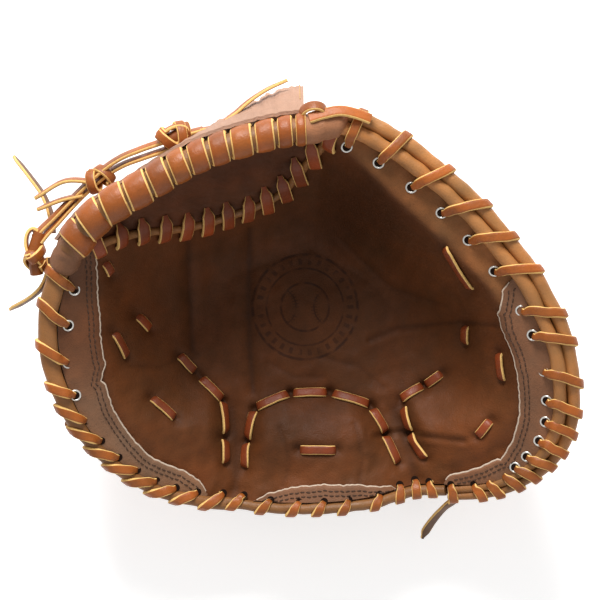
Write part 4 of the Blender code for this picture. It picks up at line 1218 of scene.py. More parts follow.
def make_rim_laces(looks):
    """The lacing over the rim: long crossings on the fingers, close whipping elsewhere."""
    rng = np.random.default_rng(7)
    for name, rows, body, node in (("finger_lacing", FINGER_LACES, "fingers", "finger_edge_lace"),
                                   ("thumb_lacing", THUMB_LACES, "thumb", "thumb_edge_lace"),
                                   ("heel_lacing", HEEL_LACES, "palm", "heel_edge_lace")):
        laces, rings = Shape(), Shape()
        for row in rows:
            lift = 0.0 if body == "fingers" and row[0] > 2 else 2.4
            add_rim_lace(laces, rings, body, row, rng, lift)
        if body == "fingers":
            tail = np.array(HEEL_TAIL[0], float)
            root = rim_place(-50.0, 1.0, -1.5)
            bend = root * 0.35 + tail * 0.65 + (0, 1.0, 1.5)
            stub = curve_through([root, bend, tail + (-1.2, -1.2, -1.0)], 1.0)
            add_lace(laces, stub, 5.0, LACE_THICKNESS, ups=(0.4, -0.3, 0.8), tones=0.7)
        piece = laces.make(name, [looks["lace"], looks["raw"]])
        dress(piece, "lace_leather", body, node)
        piece = rings.make(name + "_eyelets", [looks["eyelet"], looks["hole"]])
        dress(piece, "rim_leather", body)


# ---------------------------------------------------------------- palm lacing

DASH_WIDTH = 5.0
DASH_LIFT = 0.9              # from the hide to the middle of a dash's thickness
DASH_DIP = 2.2               # how far below the hide its ends go


def add_dash(shape, start, end, rng):
    """One stretch of lace that lies on the palm, its two ends going down through the hide."""
    start, end = np.array(start), np.array(end)
    length = float(np.linalg.norm(end - start))
    share = np.linspace(0, 1, max(8, int(length / 0.9)))
    x, y = (start[None] + (end - start)[None] * share[:, None]).T
    arch = np.minimum(np.minimum(share, 1 - share) * length / 2.4, 1.0)
    lifts = -DASH_DIP + (DASH_LIFT + DASH_DIP) * smooth(arch) + 0.5 * np.sin(np.pi * share)
    path, normal = on_skin(x, y, lifts)
    squeeze = 0.78 + 0.22 * smooth(arch)
    # Random tone, with painted shade at the ends where the dash goes down into the hide.
    tone = (0.9 + 0.15 * rng.uniform()) * (0.7 + 0.3 * smooth(arch * 1.2))
    add_lace(shape, path, DASH_WIDTH, 1.7, ups=normal, scale=np.stack([squeeze, np.ones_like(squeeze)], -1),
             tones=tone, cap_slot=0)


def make_palm_lacing(looks):
    """The dashes of lace that hold the pads to the pocket's hide."""
    rng = np.random.default_rng(12)
    for name, dashes, body, nodes in (
            ("palm_lacing", PALM_DASHES, "palm", ("heel_arch_lace", "heel_tie_lace")),
            ("thumb_palm_lacing", THUMB_DASHES, "thumb",
             ("thumb_groove_lace", *(f"thumb_tie_lace_{k}" for k in range(1, 5)))),
            ("finger_palm_lacing", FINGER_DASHES, "fingers",
             ("finger_groove_lace", *(f"finger_tie_lace_{k}" for k in range(1, 5))))):
        shape = Shape()
        for start, end in dashes:
            add_dash(shape, start, end, rng)
        piece = shape.make(name, [looks["dash"], looks["raw"]])
        dress(piece, "lace_leather", body, *nodes)


# ---------------------------------------------------------------- web

def web_parts(start, end, count):
    """The azimuths of the web's two halves."""
    total = np.linspace(start, end, count)
    cut = int(np.searchsorted(total, SPLIT_TOP))
    total[cut] = SPLIT_TOP
    return (("fingers", total[:cut + 1], bend_fingers), ("thumb", total[cut:], bend_thumb))


def make_web_faces(looks):
    """The web's dark inner leather."""
    rows = np.linspace(0, 1, 46)[:, None]
    for side, azimuth, bend in web_parts(82.0, 165.0, 150):
        azimuth = azimuth[None, :]
        inner = web_seam_radius(azimuth) + 0.2
        outer = inset_radius(azimuth, 3.0)
        x, y = plan(azimuth, inner + (outer - inner) * rows)
        wrinkle = 0.7 * ripple(x, y, 24.0, 81) + 0.35 * ripple(x, y * 2.2, 9.0, 82)
        wrinkle = wrinkle * np.sin(np.pi * rows)**0.5
        sag = 3.0 * np.sin(np.pi * rows)
        top = np.stack([x, y, face_height(x, y) + wrinkle - sag], -1)
        bottom = top - skin_normal(x, y, face_height) * WEB_THICKNESS
        # Random tone, with painted shade in the wrinkles' hollows and painted light on their crests.
        tone = 0.80 + 0.12 * ripple(x, y, 20.0, 83) + 0.10 * wrinkle
        shape = Shape()
        add_slab(shape, top, bottom, tones=tone)
        piece = shape.make("web_face_" + side, [looks["web"]])
        dress(piece, "pocket_leather", bend, "web_front_panel")


HEM_OUT = 6.5                # how far the web back's hem stands out behind the roll
HEM_UP = 8.0


def web_back_surface(azimuth, shares, fullness, out, up):
    """Outer face of the web's back and its normals; fullness scales its bulge, out and up move its hem."""
    values = station(azimuth)
    x, y = plan(azimuth, values["radius"] * shares)
    top = back_place(x, y, 0.0)
    normal = unit(back_place(x, y, -1.0) - top)
    swelling = np.sin(math.pi * np.clip((shares - 0.5) / 0.5, 0, 1)**2)
    pull = (fullness - 1.0) * (values["bulge"] - 3.0) * swelling
    angle = np.radians(azimuth)
    away = pull + out * smooth((shares - 0.83) / 0.15)
    shift = np.stack([np.cos(angle) * away, np.sin(angle) * away,
                      up * smooth((shares - 0.88) / 0.12) * np.ones_like(angle)], -1)
    return top + shift, normal


def make_web_back(looks):
    """The pale leather that bulges behind the web, its hem, and the tucked strip at its finger end."""
    shares = np.linspace(0.60, 1.0, 60)[:, None]
    for side, azimuth, bend in web_parts(90.4, 166.0, 220):
        azimuth = azimuth[None, :]
        rise = smooth((shares - 0.72) / 0.26)
        near = np.exp(-((azimuth - 96.0) / 12.0)**2)
        gather = (0.8 * ripple(azimuth * 1.6, shares * 6.0, 8.0, 85)
                  + (0.35 + 0.4 * near) * ripple(azimuth * 1.6 + shares * 22.0, shares * 9.0, 3.4, 86)) * rise
        gather = gather * (1 - 0.75 * smooth((shares - 0.90) / 0.08))
        flat = (1 - smooth((azimuth - 90.0) / 10.0)**0.6) * (1 - smooth((shares - 0.72) / 0.16))
        fullness = 1 - 0.88 * flat
        top, normal = web_back_surface(azimuth, shares, fullness, HEM_OUT, HEM_UP)
        top = top + normal * gather[..., None]
        # Painted shade in the gathers' folds and painted light on their crests.
        tone = 0.92 + 0.09 * gather
        shape = Shape()
        add_slab(shape, top - normal * WEB_THICKNESS, top, tones=tone)
        piece = shape.make("web_back_" + side, [looks["suede"]])
        dress(piece, "web_back_leather", bend, "web_back_panel")
        column = 3 if side == "fingers" else -4
        shape = Shape()
        add_stitches(shape, top[2:-3, column], normal[2:-3, column], 3.6, 2.6, 0.36)
        piece = shape.make("web_back_stitches_" + side, [looks["pale_thread"]])
        dress(piece, "web_back_leather", bend)
    azimuth = np.linspace(79.0, 94.5, 40)[None, :]
    top, normal = web_back_surface(azimuth, shares, 0.10, 0.0, 5.0)
    shape = Shape()
    add_slab(shape, top - normal * WEB_THICKNESS, top, tones=0.75)
    piece = shape.make("web_back_tuck", [looks["suede"]])
    dress(piece, "web_back_leather", bend_fingers)


# Where one turn of the web's wide binding ends and the next begins, in azimuth.
WRAP_EDGES = (89.1, 93.7, 99.8, 107.4, 115.7, 122.8, 129.7, 136.1, 142.8, 149.5, 155.6, 161.6, 166.5)
WRAP_GAP = 2.0
WRAP_LEAN = 0.42             # share of its own width that a turn moves along, in one turn


def roll_radius(azimuth):
    """The web roll's radius, thicker towards the thumb."""
    return ROLL_RADIUS - 0.3 + 1.3 * smooth((azimuth - 125.0) / 38.0)


def make_web_roll(looks):
    """The roll along the web's top."""
    for side, azimuth, bend in web_parts(86.0, 167.0, 150):
        path = rim_place(azimuth, 0.0, 0.0)
        shape = Shape()
        # The roll is painted dark: partly its own colour, partly painted shade in the gaps between the wraps,
        # where it shows.
        add_sweep(shape, path, round_profile(1.0, 20), 0, ups=(0, 0, 1),
                  scale=roll_radius(azimuth),
                  tones=0.5 + 0.05 * waver(azimuth, 6.0, 91))
        piece = shape.make("web_roll_" + side, [looks["roll"]])
        dress(piece, "rim_leather", bend, "web_top_roll")


CAP_RADIUS = 8.0


def make_web_caps(looks):
    """The rounded bare ends of the web's roll."""
    # The fingers' cap is painted lighter than the thumb's, partly as painted light on its lit top.
    for side, start, end, shade, drop, bend in (("fingers", 90.5, 76.6, 1.5, 0.0, bend_fingers),
                                                ("thumb", 164.5, 173.5, 1.0, -1.2, bend_thumb)):
        share = np.linspace(0, 1, 44)
        azimuth = start + (end - start) * share
        close = np.sqrt(np.clip(1 - np.clip((share - 0.62) / 0.38, 0, 1)**2.4, 0.004, 1))
        path = rim_place(azimuth, -0.6 * share, drop * share)
        fold = 0.25 * waver(share * 20.0, 7.0, 93)
        shape = Shape()
        add_sweep(shape, path, round_profile(1.0, 24), 0, ups=(0, 0, 1),
                  scale=np.stack([(CAP_RADIUS + fold) * close, (CAP_RADIUS - 0.4 - fold) * close], -1),
                  tones=shade + 0.08 * waver(share * 20.0, 8.0, 94))
        piece = shape.make("web_cap_" + side, [looks["band"]])
        dress(piece, "rim_leather", bend)


def make_web_end_lace(looks):
    """The strap over the roll's finger end, and the loop beside it."""
    shape = Shape()
    azimuth = np.linspace(88.0, 70.5, 40)
    strap = np.stack([rim_place(a, 5.0, 6.6 + 1.2 * math.sin(k / 39 * math.pi))
                      for k, a in enumerate(azimuth)])
    add_lace(shape, strap, 6.0, LACE_THICKNESS, ups=(0.1, 0.55, 1.0), tones=1.25)
    add_loop(shape, rim_place(86.0, 8.0, 3.2), (0.8, 0.25, 0.1), (-0.2, 0.6, 0.8), (6.0, 4.6), 1.2,
             np.random.default_rng(3), 5.6, 0.55, 0.92)
    piece = shape.make("web_end_lace", [looks["lace"], looks["raw"]])
    dress(piece, "lace_leather", bend_fingers)


def make_web_wraps(looks):
    """The wide lace wound round the web's roll."""
    rng = np.random.default_rng(5)
    shapes = {"fingers": Shape(), "thumb": Shape()}
    for first, last in zip(WRAP_EDGES, WRAP_EDGES[1:]):
        middle = (first + last) / 2
        shape = shapes["fingers" if middle < SPLIT_TOP else "thumb"]
        share = np.linspace(-0.28, 0.80, 46)
        azimuth = middle + (last - first) * (share - 0.25) * WRAP_LEAN
        reach = roll_radius(azimuth) + 0.9 + 0.2 * rng.uniform(-1, 1) + 0.5 * smooth((share - 0.6) / 0.2)
        path = np.stack([rim_place(a, r * math.cos(t), r * math.sin(t)) for a, r, t in
                         zip(azimuth, reach, share * 2 * math.pi)])
        centre = np.stack([rim_place(a, 0.0, 0.0) for a in azimuth])
        along = unit(np.stack([rim_place(a + 1.0, 0.0, 0.0) - rim_place(a - 1.0, 0.0, 0.0) for a in azimuth]))
        ups = unit(unit(path - centre) + 0.05 * along)
        length = float(np.linalg.norm(rim_place(last, 0, 0) - rim_place(first, 0, 0))) - WRAP_GAP
        profile, slots = lace_profile(length, LACE_THICKNESS)
        profile = [(a, b + (0.5 * (1 - (2 * a / length)**2) if b > 0 else 0.0)) for a, b in profile]
        shade = 0.82 + 0.2 * rng.uniform() + 0.06 * np.sin(share * 9.0 + rng.uniform(0, 6))
        tint = np.stack([shade, shade * (0.95 + 0.08 * rng.uniform()), shade], -1)
        add_sweep(shape, path, profile, slots, ups=ups, tones=tint, cap_slot=1)
    for side, bend in (("fingers", bend_fingers), ("thumb", bend_thumb)):
        piece = shapes[side].make("web_wraps_" + side, [looks["lace"], looks["raw"]])
        dress(piece, "lace_leather", bend, "web_binding_lace")


STRAP_PITCH = 11.6           # along the web's seam, from one cross-strap to the next
STRAP_REACH = 5.4            # from the seam to a strap's end


def make_web_seam(looks):
    """Lacing along the seam between web and palm: a rolled core under thick cross-straps."""
    rng = np.random.default_rng(9)
    shapes = {"fingers": Shape(), "thumb": Shape()}
    route = [np.array(plan(a, r)) for a, r in WEB_SEAM]
    seam = curve_through([np.array([x, y, 0.0]) for x, y in route], 1.0)[:, :2]
    travelled = travelled_along(seam)

    def surface(points, lift):
        x, y = points[..., 0], points[..., 1]
        normal = skin_normal(x, y, face_height)
        return np.stack([x, y, face_height(x, y)], -1) + normal * np.asarray(lift)[..., None], normal

    azimuths = np.degrees(np.arctan2(seam[:, 1], seam[:, 0]))
    for side, chosen in (("fingers", azimuths <= SPLIT_TOP + 1.0), ("thumb", azimuths >= SPLIT_TOP - 1.0)):
        spots = travelled[chosen]
        path, normal = surface(seam[chosen], 0.9 + 0.3 * np.sin(spots * 0.55))
        add_sweep(shapes[side], path, round_profile(2.5, 12, 0.8), 2, ups=normal, cap_slot=2,
                  tones=0.62)
    for spot in np.arange(2.5, travelled[-1] - 6, STRAP_PITCH):
        middle = np.array([np.interp(spot, travelled, seam[:, k]) for k in range(2)])
        ahead = np.array([np.interp(spot + 1.0, travelled, seam[:, k]) for k in range(2)])
        tangent = unit(ahead - middle)
        across = np.array([-tangent[1], tangent[0]])
        if across @ middle < 0:
            across = -across
        lean = rng.uniform(1.6, 3.0)
        share = np.linspace(-1, 1, 21)
        reach = STRAP_REACH + rng.uniform(-0.5, 0.5)
        points = middle + across * (-share * reach)[:, None] + tangent * (share * lean)[:, None]
        lift = 3.6 * (1 - np.abs(share)**3.2) - 1.6 * np.abs(share)**6
        path, normal = surface(points, lift)
        taper = 0.38 + 0.62 * smooth((1.0 - np.abs(share)) / 0.3)
        shade = 0.95 + 0.35 * rng.uniform() + 0.12 * np.sin(share * 3.0)
        side = "fingers" if math.degrees(math.atan2(middle[1], middle[0])) < SPLIT_TOP else "thumb"
        add_lace(shapes[side], path, 6.8, 2.4, ups=normal, scale=np.stack([taper, np.ones(21)], -1),
                 tones=shade)
    for side, bend in (("fingers", bend_fingers), ("thumb", bend_thumb)):
        piece = shapes[side].make("web_seam_lacing_" + side, [looks["dash"], looks["raw"], looks["roll"]])
        dress(piece, "lace_leather", bend, "web_seam_lace")


# ---------------------------------------------------------------- knots and free ends

WEB_TAIL = ((-55, 90.5, 123), (-47, 92.5, 123), (-38, 98.5, 121.5), (-29.5, 106, 119),
            (-20, 112.5, 116), (-9.5, 117.5, 113))
LEFT_UPPER_TAIL = ((-136, 37, 92), (-136.5, 43, 92), (-138, 50, 91), (-142, 58.5, 88),
                   (-148.5, 67, 83), (-154.5, 74, 76), (-160, 80, 68))
LEFT_LOWER_TAIL = ((-137, 24, 99), (-137.5, 16, 98), (-141, 8.5, 95), (-147.5, 3, 88),
                   (-155, -1.0, 79), (-162, -4, 69))
HEEL_TAIL = ((84, -111.5, 40), (80, -115, 36), (76.5, -119, 31), (73, -124, 26), (70, -129, 22),
             (67, -135, 19.5))
WEB_STRANDS = ((-71, 84, 120), (-79, 81, 119), (-87, 78, 117), (-97, 74, 114), (-107, 68, 111),
               (-117, 60, 108), (-127, 51, 106), (-135, 43, 105), (-139.5, 38.5, 105), (-143.5, 33.5, 105))
WEB_KNOT = np.array((-67.5, 87.0, 122.0))
LEFT_KNOT = np.array((-144.5, 26.0, 104.0))


def make_tails(looks):
    """The four free lace ends, cut at a slant."""
    for name, route, body, look, ups, lay in (
            ("web_tail_end", WEB_TAIL, "palm", "lace", (-0.5, 0.9, 0.25), "loose"),
            ("left_upper_tail_end", LEFT_UPPER_TAIL, "thumb", "tail", (0.75, 0.5, 0.35), "hanging"),
            ("left_lower_tail_end", LEFT_LOWER_TAIL, "thumb", "tail", (0.5, -0.8, 0.3), "hanging"),
            ("heel_tail_end", HEEL_TAIL, "fingers", "tail", (0.4, -0.3, 0.8), "hanging")):
        path = curve_through(route, 1.2)
        share = np.linspace(0, 1, len(path))
        width = 1.0 - 0.72 * smooth((share - 0.86) / 0.14)
        twist = np.array(ups, float)[None] + 0.25 * np.sin(share * 5.0)[:, None] * np.array([0.5, 0.5, 0.0])
        shape = Shape()
        add_lace(shape, path, 5.4, LACE_THICKNESS, ups=twist, scale=np.stack([width, 0.9 + 0 * width], -1),
                 tones=0.95 + 0.08 * np.sin(share * 9.0))
        piece = shape.make(name, [looks[look], looks["raw"]])
        node = name[:-4]
        dress(piece, "lace_leather", body, node)


def add_loop(shape, centre, first, second, size, tilt, rng, width=5.2, start=0.0, sweep=1.08):
    """One turn of lace round a knot, in the plane of two directions."""
    first, second = unit(np.array(first, float)), unit(np.array(second, float))
    axis = np.cross(first, second)
    turn = (start + np.linspace(0, sweep, 34)) * 2 * math.pi
    path = (centre + np.cos(turn)[:, None] * first * size[0] + np.sin(turn)[:, None] * second * size[1]
            + axis * (tilt * np.cos(turn + 0.7) + 1.4 * (turn - turn[0]) / 6.3)[:, None])
    add_lace(shape, path, width, LACE_THICKNESS, ups=unit(path - centre),
             tones=0.85 + 0.25 * rng.uniform())


def make_web_knot(looks, rng):
    """The knot on the web's back."""
    shape = Shape()
    along = np.array((-0.86, -0.42, -0.15))
    across = np.array((0.40, -0.88, 0.10))
    add_loop(shape, WEB_KNOT + (2, 1, 0), across, (0, 0, 1), (6.4, 5.2), 2.6, rng)
    add_loop(shape, WEB_KNOT + (-4, -1, 0), across, (0.1, 0.1, 1), (5.6, 5.6), -3.2, rng, start=0.3)
    add_loop(shape, WEB_KNOT + (-1, 0.5, 1.8), along, across, (7.5, 4.2), 1.4, rng, 4.6, 0.1, 0.75)
    add_loop(shape, WEB_KNOT + (5, 2.5, -1), across, (0, 0, 1), (4.4, 4.4), 2.0, rng, 4.8, 0.6)
    tail = np.array(WEB_TAIL[0])
    link = curve_through([WEB_KNOT + (2, 0, 1), WEB_KNOT + (8, 2.3, 1.5), tail + (1.5, 0.4, 0)], 1.2)
    add_lace(shape, link, 5.0, LACE_THICKNESS, ups=(-0.4, 0.85, 0.5))
    core = curve_through([WEB_KNOT + along * 8, WEB_KNOT, WEB_KNOT - along * 8], 1.5)
    add_sweep(shape, core, round_profile(4.0, 12), 0, ups=(0, 0, 1), tones=0.8)
    piece = shape.make("web_knot_turns", [looks["lace"], looks["raw"]])
    dress(piece, "lace_leather", bend_thumb, "web_knot")


def make_web_strands(looks, rng):
    """The double strand from the web's knot to the left knot, its small knot and its short ends."""
    shape = Shape()
    path = curve_through(WEB_STRANDS, 1.5)
    tangent = unit(np.gradient(path, axis=0))
    side = unit(np.cross(tangent, (0, 0, 1)))
    for shift, phase, drop in ((2.2, 0.0, 0.6), (-2.4, 1.8, -0.6)):
        share = np.linspace(0, 1, len(path))
        strand = path + side * (shift * (0.75 + 0.35 * np.sin(share * 6 + phase)))[:, None]
        strand = strand + np.array([0, 0, 1]) * (drop + 0.8 * np.sin(share * 5 + phase))[:, None]
        ups = side * (0.9 + 0.1 * np.sin(share * 4 + phase))[:, None] + np.array([0.0, 0.0, 0.6])
        add_lace(shape, strand, 5.0, LACE_THICKNESS, ups=ups, tones=0.95 + 0.1 * np.sin(share * 8 + phase))
    middle = path[int(len(path) * 0.52)]
    add_loop(shape, middle + (0, 0, 0.4), side[20], (0, 0, 1), (5.4, 4.4), 2.2, rng)
    add_loop(shape, middle + (5, 3.5, 0.4), side[20], (0, 0, 1), (5.0, 4.0), -2.4, rng, start=0.4)
    for start, end, lift in (((-112, 64, 112), (-144, 55.5, 104), 4.5),
                             ((-118, 57, 109), (-143, 49.6, 101), 1.0)):
        stub = curve_through([start, (np.array(start) + end) / 2 + (0, lift, 1.0), end], 1.2)
        share = np.linspace(0, 1, len(stub))
        add_lace(shape, stub, 4.8, 1.8, ups=(-0.3, 0.9, 0.35), tones=1.0,
                 scale=np.stack([1 - 0.4 * smooth((share - 0.85) / 0.15), np.ones(len(stub))], -1))
    piece = shape.make("web_strand_laces", [looks["lace"], looks["raw"]])
    dress(piece, "lace_leather", bend_thumb, "web_strands")


def make_left_knot(looks, rng):
    """The knot at the web's thumb end."""
    shape = Shape()
    add_loop(shape, LEFT_KNOT + (0, 5, 0), (0, 1, 0.1), (0.9, 0, -0.4), (7.6, 3.8), 1.5, rng)
    add_loop(shape, LEFT_KNOT + (0, -4, -1), (1, 0, -0.2), (0, 0.3, 1), (4.8, 5.6), 2.6, rng)
    add_loop(shape, LEFT_KNOT + (0.5, 1, 0), (1, 0.3, -0.2), (0, -0.2, 1), (4.6, 5.6), -2.2, rng, start=0.3)
    core = curve_through([LEFT_KNOT + (3, 11, 0), LEFT_KNOT, LEFT_KNOT + (1, -11, -3)], 1.5)
    add_sweep(shape, core, round_profile(3.6, 12), 0, ups=(0, 0, 1), tones=0.8)
    piece = shape.make("left_knot_turns", [looks["lace"], looks["raw"]])
    dress(piece, "lace_leather", "thumb", "left_knot")


def make_knots(looks):
    """The web's knots and the strands between them, which share one run of random draws."""
    rng = np.random.default_rng(15)
    make_web_knot(looks, rng)
    make_web_strands(looks, rng)
    make_left_knot(looks, rng)


# ---------------------------------------------------------------- back

def sector_place(fold, shift, ends, azimuths, u, v):
    """Plan points between a fold line (u = 0) and the rim (u = 1)."""
    (x0, y0), (x1, y1) = fold
    along = ends[0] + (ends[1] - ends[0]) * v
    azimuth = azimuths[0] + (azimuths[1] - azimuths[0]) * v
    outer_x, outer_y = plan(azimuth, inset_radius(azimuth, 0.0))
    inner_x, inner_y = x0 + shift + (x1 - x0) * along, y0 + (y1 - y0) * along
    return inner_x + (outer_x - inner_x) * u, inner_y + (outer_y - inner_y) * u


def make_back_panel(looks, name, node, body, place, seed, crown=3.0):
    """One panel of the back: crowned between its seams, and drawn up to the rim's rolls."""
    rows, columns = 64, 60
    u = np.linspace(-0.03, 1.0, rows)[:, None] * np.ones((1, columns))
    v = np.linspace(0, 1, columns)[None, :] * np.ones((rows, 1))
    x, y = place(u, v)
    outer = back_place(x, y, 0.0)
    inward = unit(back_place(x, y, 1.0) - outer)
    free = smooth(outer[..., 2:] / 14.0)
    swell = crown * (1 - np.abs(2 * v - 1)**2.6)[..., None] * free - 0.8
    worn = 0.35 * ripple(x, outer[..., 2], 22.0, seed) + 0.15 * ripple(y, outer[..., 2], 8.0, seed + 1)
    swell = swell + worn[..., None]
    outer = outer - inward * swell * free
    lips = []
    for out, up in ((0.9, 2.8), (0.4, 5.6)):
        lip = outer[-1].copy()
        flat = unit(np.stack([x[-1], y[-1]], -1))
        lip[:, :2] += flat * out
        lip[:, 2] += up
        lips.append(lip)
    outer = np.concatenate([outer, np.array(lips)])
    inward = np.concatenate([inward, inward[-1:], inward[-1:]])
    px, py = outer[..., 0], outer[..., 1]
    tone = 0.95 + 0.06 * ripple(px, py, 30.0, seed + 2) + 0.03 * ripple(px, py, 10.0, seed + 3)
    seam = np.minimum(np.arange(columns), np.arange(columns)[::-1]) / columns
    tone = tone * (1 - 0.18 * np.exp(-(seam / 0.03)**2))[None, :]
    shape = Shape()
    add_slab(shape, outer + inward * BACK_THICKNESS, outer, tones=tone)
    piece = shape.make(name, [looks["back"]])
    dress(piece, "back_leather", body, node)
    return outer, inward


WELT_CLEARANCE = 3.2         # a back welt starts where its panel has risen this far


def make_back(looks):
    """Thumb and finger panels, and the welts and stitching between them."""
    stitches = {"thumb": Shape(), "fingers": Shape()}
    welts = {"thumb": Shape(), "fingers": Shape()}
    for k, name in enumerate(("index", "middle", "ring", "little")):
        def place(u, v, k=k):
            return sector_place(FINGER_FOLD, 3.0, (0.08, 0.80), (78.5, -54.0), u, (k + v) / 4)
        outer, inward = make_back_panel(looks, name + "_back", name + "_back_panel", "fingers",
                                        place, 100 + k)
        for column in (4, -5):
            add_stitches(stitches["fingers"], outer[3:-3, column], -inward[3:-3, column], 3.6, 2.6, 0.36)
        if k < 3:
            low = int(np.argmax(outer[:, -1, 2] > WELT_CLEARANCE))
            add_sweep(welts["fingers"], outer[low:-1, -1] - inward[low:-1, -1] * 0.7, round_profile(1.9, 12),
                      0, ups=-inward[low:-1, -1])

    def thumb_place(u, v):
        return sector_place(THUMB_FOLD, -3.0, (0.18, 0.78), (165.0, 248.0), u, v)

    outer, inward = make_back_panel(looks, "thumb_back", "thumb_back_panel", "thumb", thumb_place, 120, 2.2)
    for column in (3, -4, 28):
        add_stitches(stitches["thumb"], outer[3:-3, column], -inward[3:-3, column], 3.6, 2.6, 0.36)
    low = int(np.argmax(outer[:, 30, 2] > WELT_CLEARANCE))
    add_sweep(welts["thumb"], outer[low:-1, 30] - inward[low:-1, 30] * 0.5, round_profile(1.8, 12), 0,
              ups=-inward[low:-1, 30])
    for body in ("thumb", "fingers"):
        piece = stitches[body].make(body + "_back_stitches", [looks["pale_thread"]])
        dress(piece, "back_leather", body)
        piece = welts[body].make(body + "_back_welts", [looks["roll"]])
        dress(piece, "rim_leather", body)


def make_gussets(looks):
    """The creased strips that bend at the two folds of the back."""
    for fold, body, way, bend in ((THUMB_FOLD, "thumb", THUMB_WAY, bend_thumb),
                                  (FINGER_FOLD, "fingers", FINGER_WAY, bend_fingers)):
        (x0, y0), (x1, y1) = fold
        along = np.linspace(0.05, 0.97, 60)[:, None]
        reach = np.linspace(-8.0, 9.0, 22)[None, :]
        x = x0 + (x1 - x0) * along + way[0] * reach
        y = y0 + (y1 - y0) * along + way[1] * reach
        height = 3.6 - 0.9 * np.cos(reach * 0.8) + 0.2 * ripple(x, y, 9.0, 140) + np.maximum(0, -90 - y) * 0.1
        top = np.stack([x, y, height + 0.8], -1)
        bottom = np.stack([x, y, height - 0.6], -1)
        shape = Shape()
        add_slab(shape, top, bottom, tones=0.8)
        piece = shape.make(body + "_back_gusset", [looks["back"]])
        bend(piece, -7.0, 8.0)


def fold_x(fold, y):
    """X of a fold line at a Y."""
    (x0, y0), (x1, y1) = fold
    return x0 + (x1 - x0) * (y - y0) / (y1 - y0)


HEEL_FACING = 18.0           # height of the leather that closes the heel pad's face


def make_centre_back(looks):
    """The back's centre panel, with its opening over the back of the hand."""
    hole = (-27.0, 19.0, -58.0, -26.0)
    columns, rows = 60, 96
    y = np.linspace(46.0, -98.0, rows)[:, None] * np.ones((1, columns))
    share = np.linspace(0, 1, columns)[None, :]
    x = (fold_x(THUMB_FOLD, y) + 3.0) * (1 - share) + (fold_x(FINGER_FOLD, y) - 3.0) * share
    step = 3.8 * smooth((-58.0 - y) / 6.0)
    z = step + 0.25 + 0.2 * ripple(x, y, 24.0, 150) * smooth((-58.0 - y) / 6.0)
    inside = (x > hole[0]) & (x < hole[1]) & (y > hole[2]) & (y < hole[3])
    shape = Shape()
    points = np.concatenate([np.stack([x, y, level], -1).reshape(-1, 3) for level in (z + 2.1, z)])
    half = rows * columns
    faces, sides = [], {}
    for j in range(rows - 1):
        for i in range(columns - 1):
            corner = j * columns + i
            corners = (corner, corner + 1, corner + columns + 1, corner + columns)
            if inside.ravel()[list(corners)].any():
                continue
            faces.append(corners)
            faces.append(tuple(c + half for c in corners[::-1]))
            for a, b in zip(corners, corners[1:] + corners[:1]):
                if (b, a) in sides:
                    del sides[(b, a)]
                else:
                    sides[(a, b)] = True
    faces += [(b, a, a + half, b + half) for a, b in sides]
    shape.add(points, faces, [0] * len(faces))
    piece = shape.make("centre_back", [looks["back"]])
    mesh = bmesh.new()
    mesh.from_mesh(piece.data)
    bmesh.ops.delete(mesh, geom=[v for v in mesh.verts if not v.link_faces], context="VERTS")
    mesh.to_mesh(piece.data)
    mesh.free()
    dress(piece, "back_leather", "palm", "centre_back_panel")


def make_opening_binding(looks):
    """The rolled binding round the back's opening."""
    shape = Shape()
    ring = []
    for k in range(72):
        turn = 2 * math.pi * k / 71
        c, s = math.cos(turn), math.sin(turn)
        ring.append((-4.0 + 24.5 * math.copysign(abs(c)**0.45, c),
                     -42.0 + 17.6 * math.copysign(abs(s)**0.45, s), 1.7))
    add_sweep(shape, ring, [(1.9 * a, 1.45 * b) for a, b in round_profile(1.0, 10)], 0, ups=(0, 0, 1))
    piece = shape.make("back_opening_binding", [looks["roll"]])
    dress(piece, "rim_leather", "palm")


def make_wrist_strap(looks):
    """The strap below the back's opening."""
    columns, rows = 60, 26
    y = np.linspace(-66.0, -97.0, rows)[:, None] * np.ones((1, columns))
    share = np.linspace(0, 1, columns)[None, :]
    x = (fold_x(THUMB_FOLD, y) + 3.0) * (1 - share) + (fold_x(FINGER_FOLD, y) - 3.0) * share
    v = np.linspace(0, 1, rows)[:, None]
    soft = 0.8 * (1 - smooth(np.minimum(v, 1 - v) / 0.08))
    shape = Shape()
    add_slab(shape, np.stack([x, y, 3.2 - soft + 0 * x], -1), np.stack([x, y, soft * 0.6 + 0 * x], -1),
             tones=0.95 + 0.06 * ripple(x, y, 18.0, 151))
    piece = shape.make("wrist_strap_leather", [looks["back"]])
    dress(piece, "back_leather", "palm", "wrist_strap")


def make_fleece(looks):
    """The strap's fleece, against the wrist."""
    y = np.linspace(-69.0, -97.5, 70)[:, None] * np.ones((1, 150))
    share = np.linspace(0, 1, 150)[None, :]
    x = (fold_x(THUMB_FOLD, y) + 6.0) * (1 - share) + (fold_x(FINGER_FOLD, y) - 6.0) * share
    rng = np.random.default_rng(16)
    pile = 9.4 + 0.5 * ripple(x, y, 6.0, 152) + rng.uniform(-0.45, 0.45, x.shape)
    shape = Shape()
    add_slab(shape, np.stack([x, y, pile], -1), np.stack([x, y, 6.5 + 0 * x], -1))
    piece = shape.make("wrist_fleece_pile", [looks["fleece"]])
    dress(piece, "fleece", "palm", "wrist_fleece")


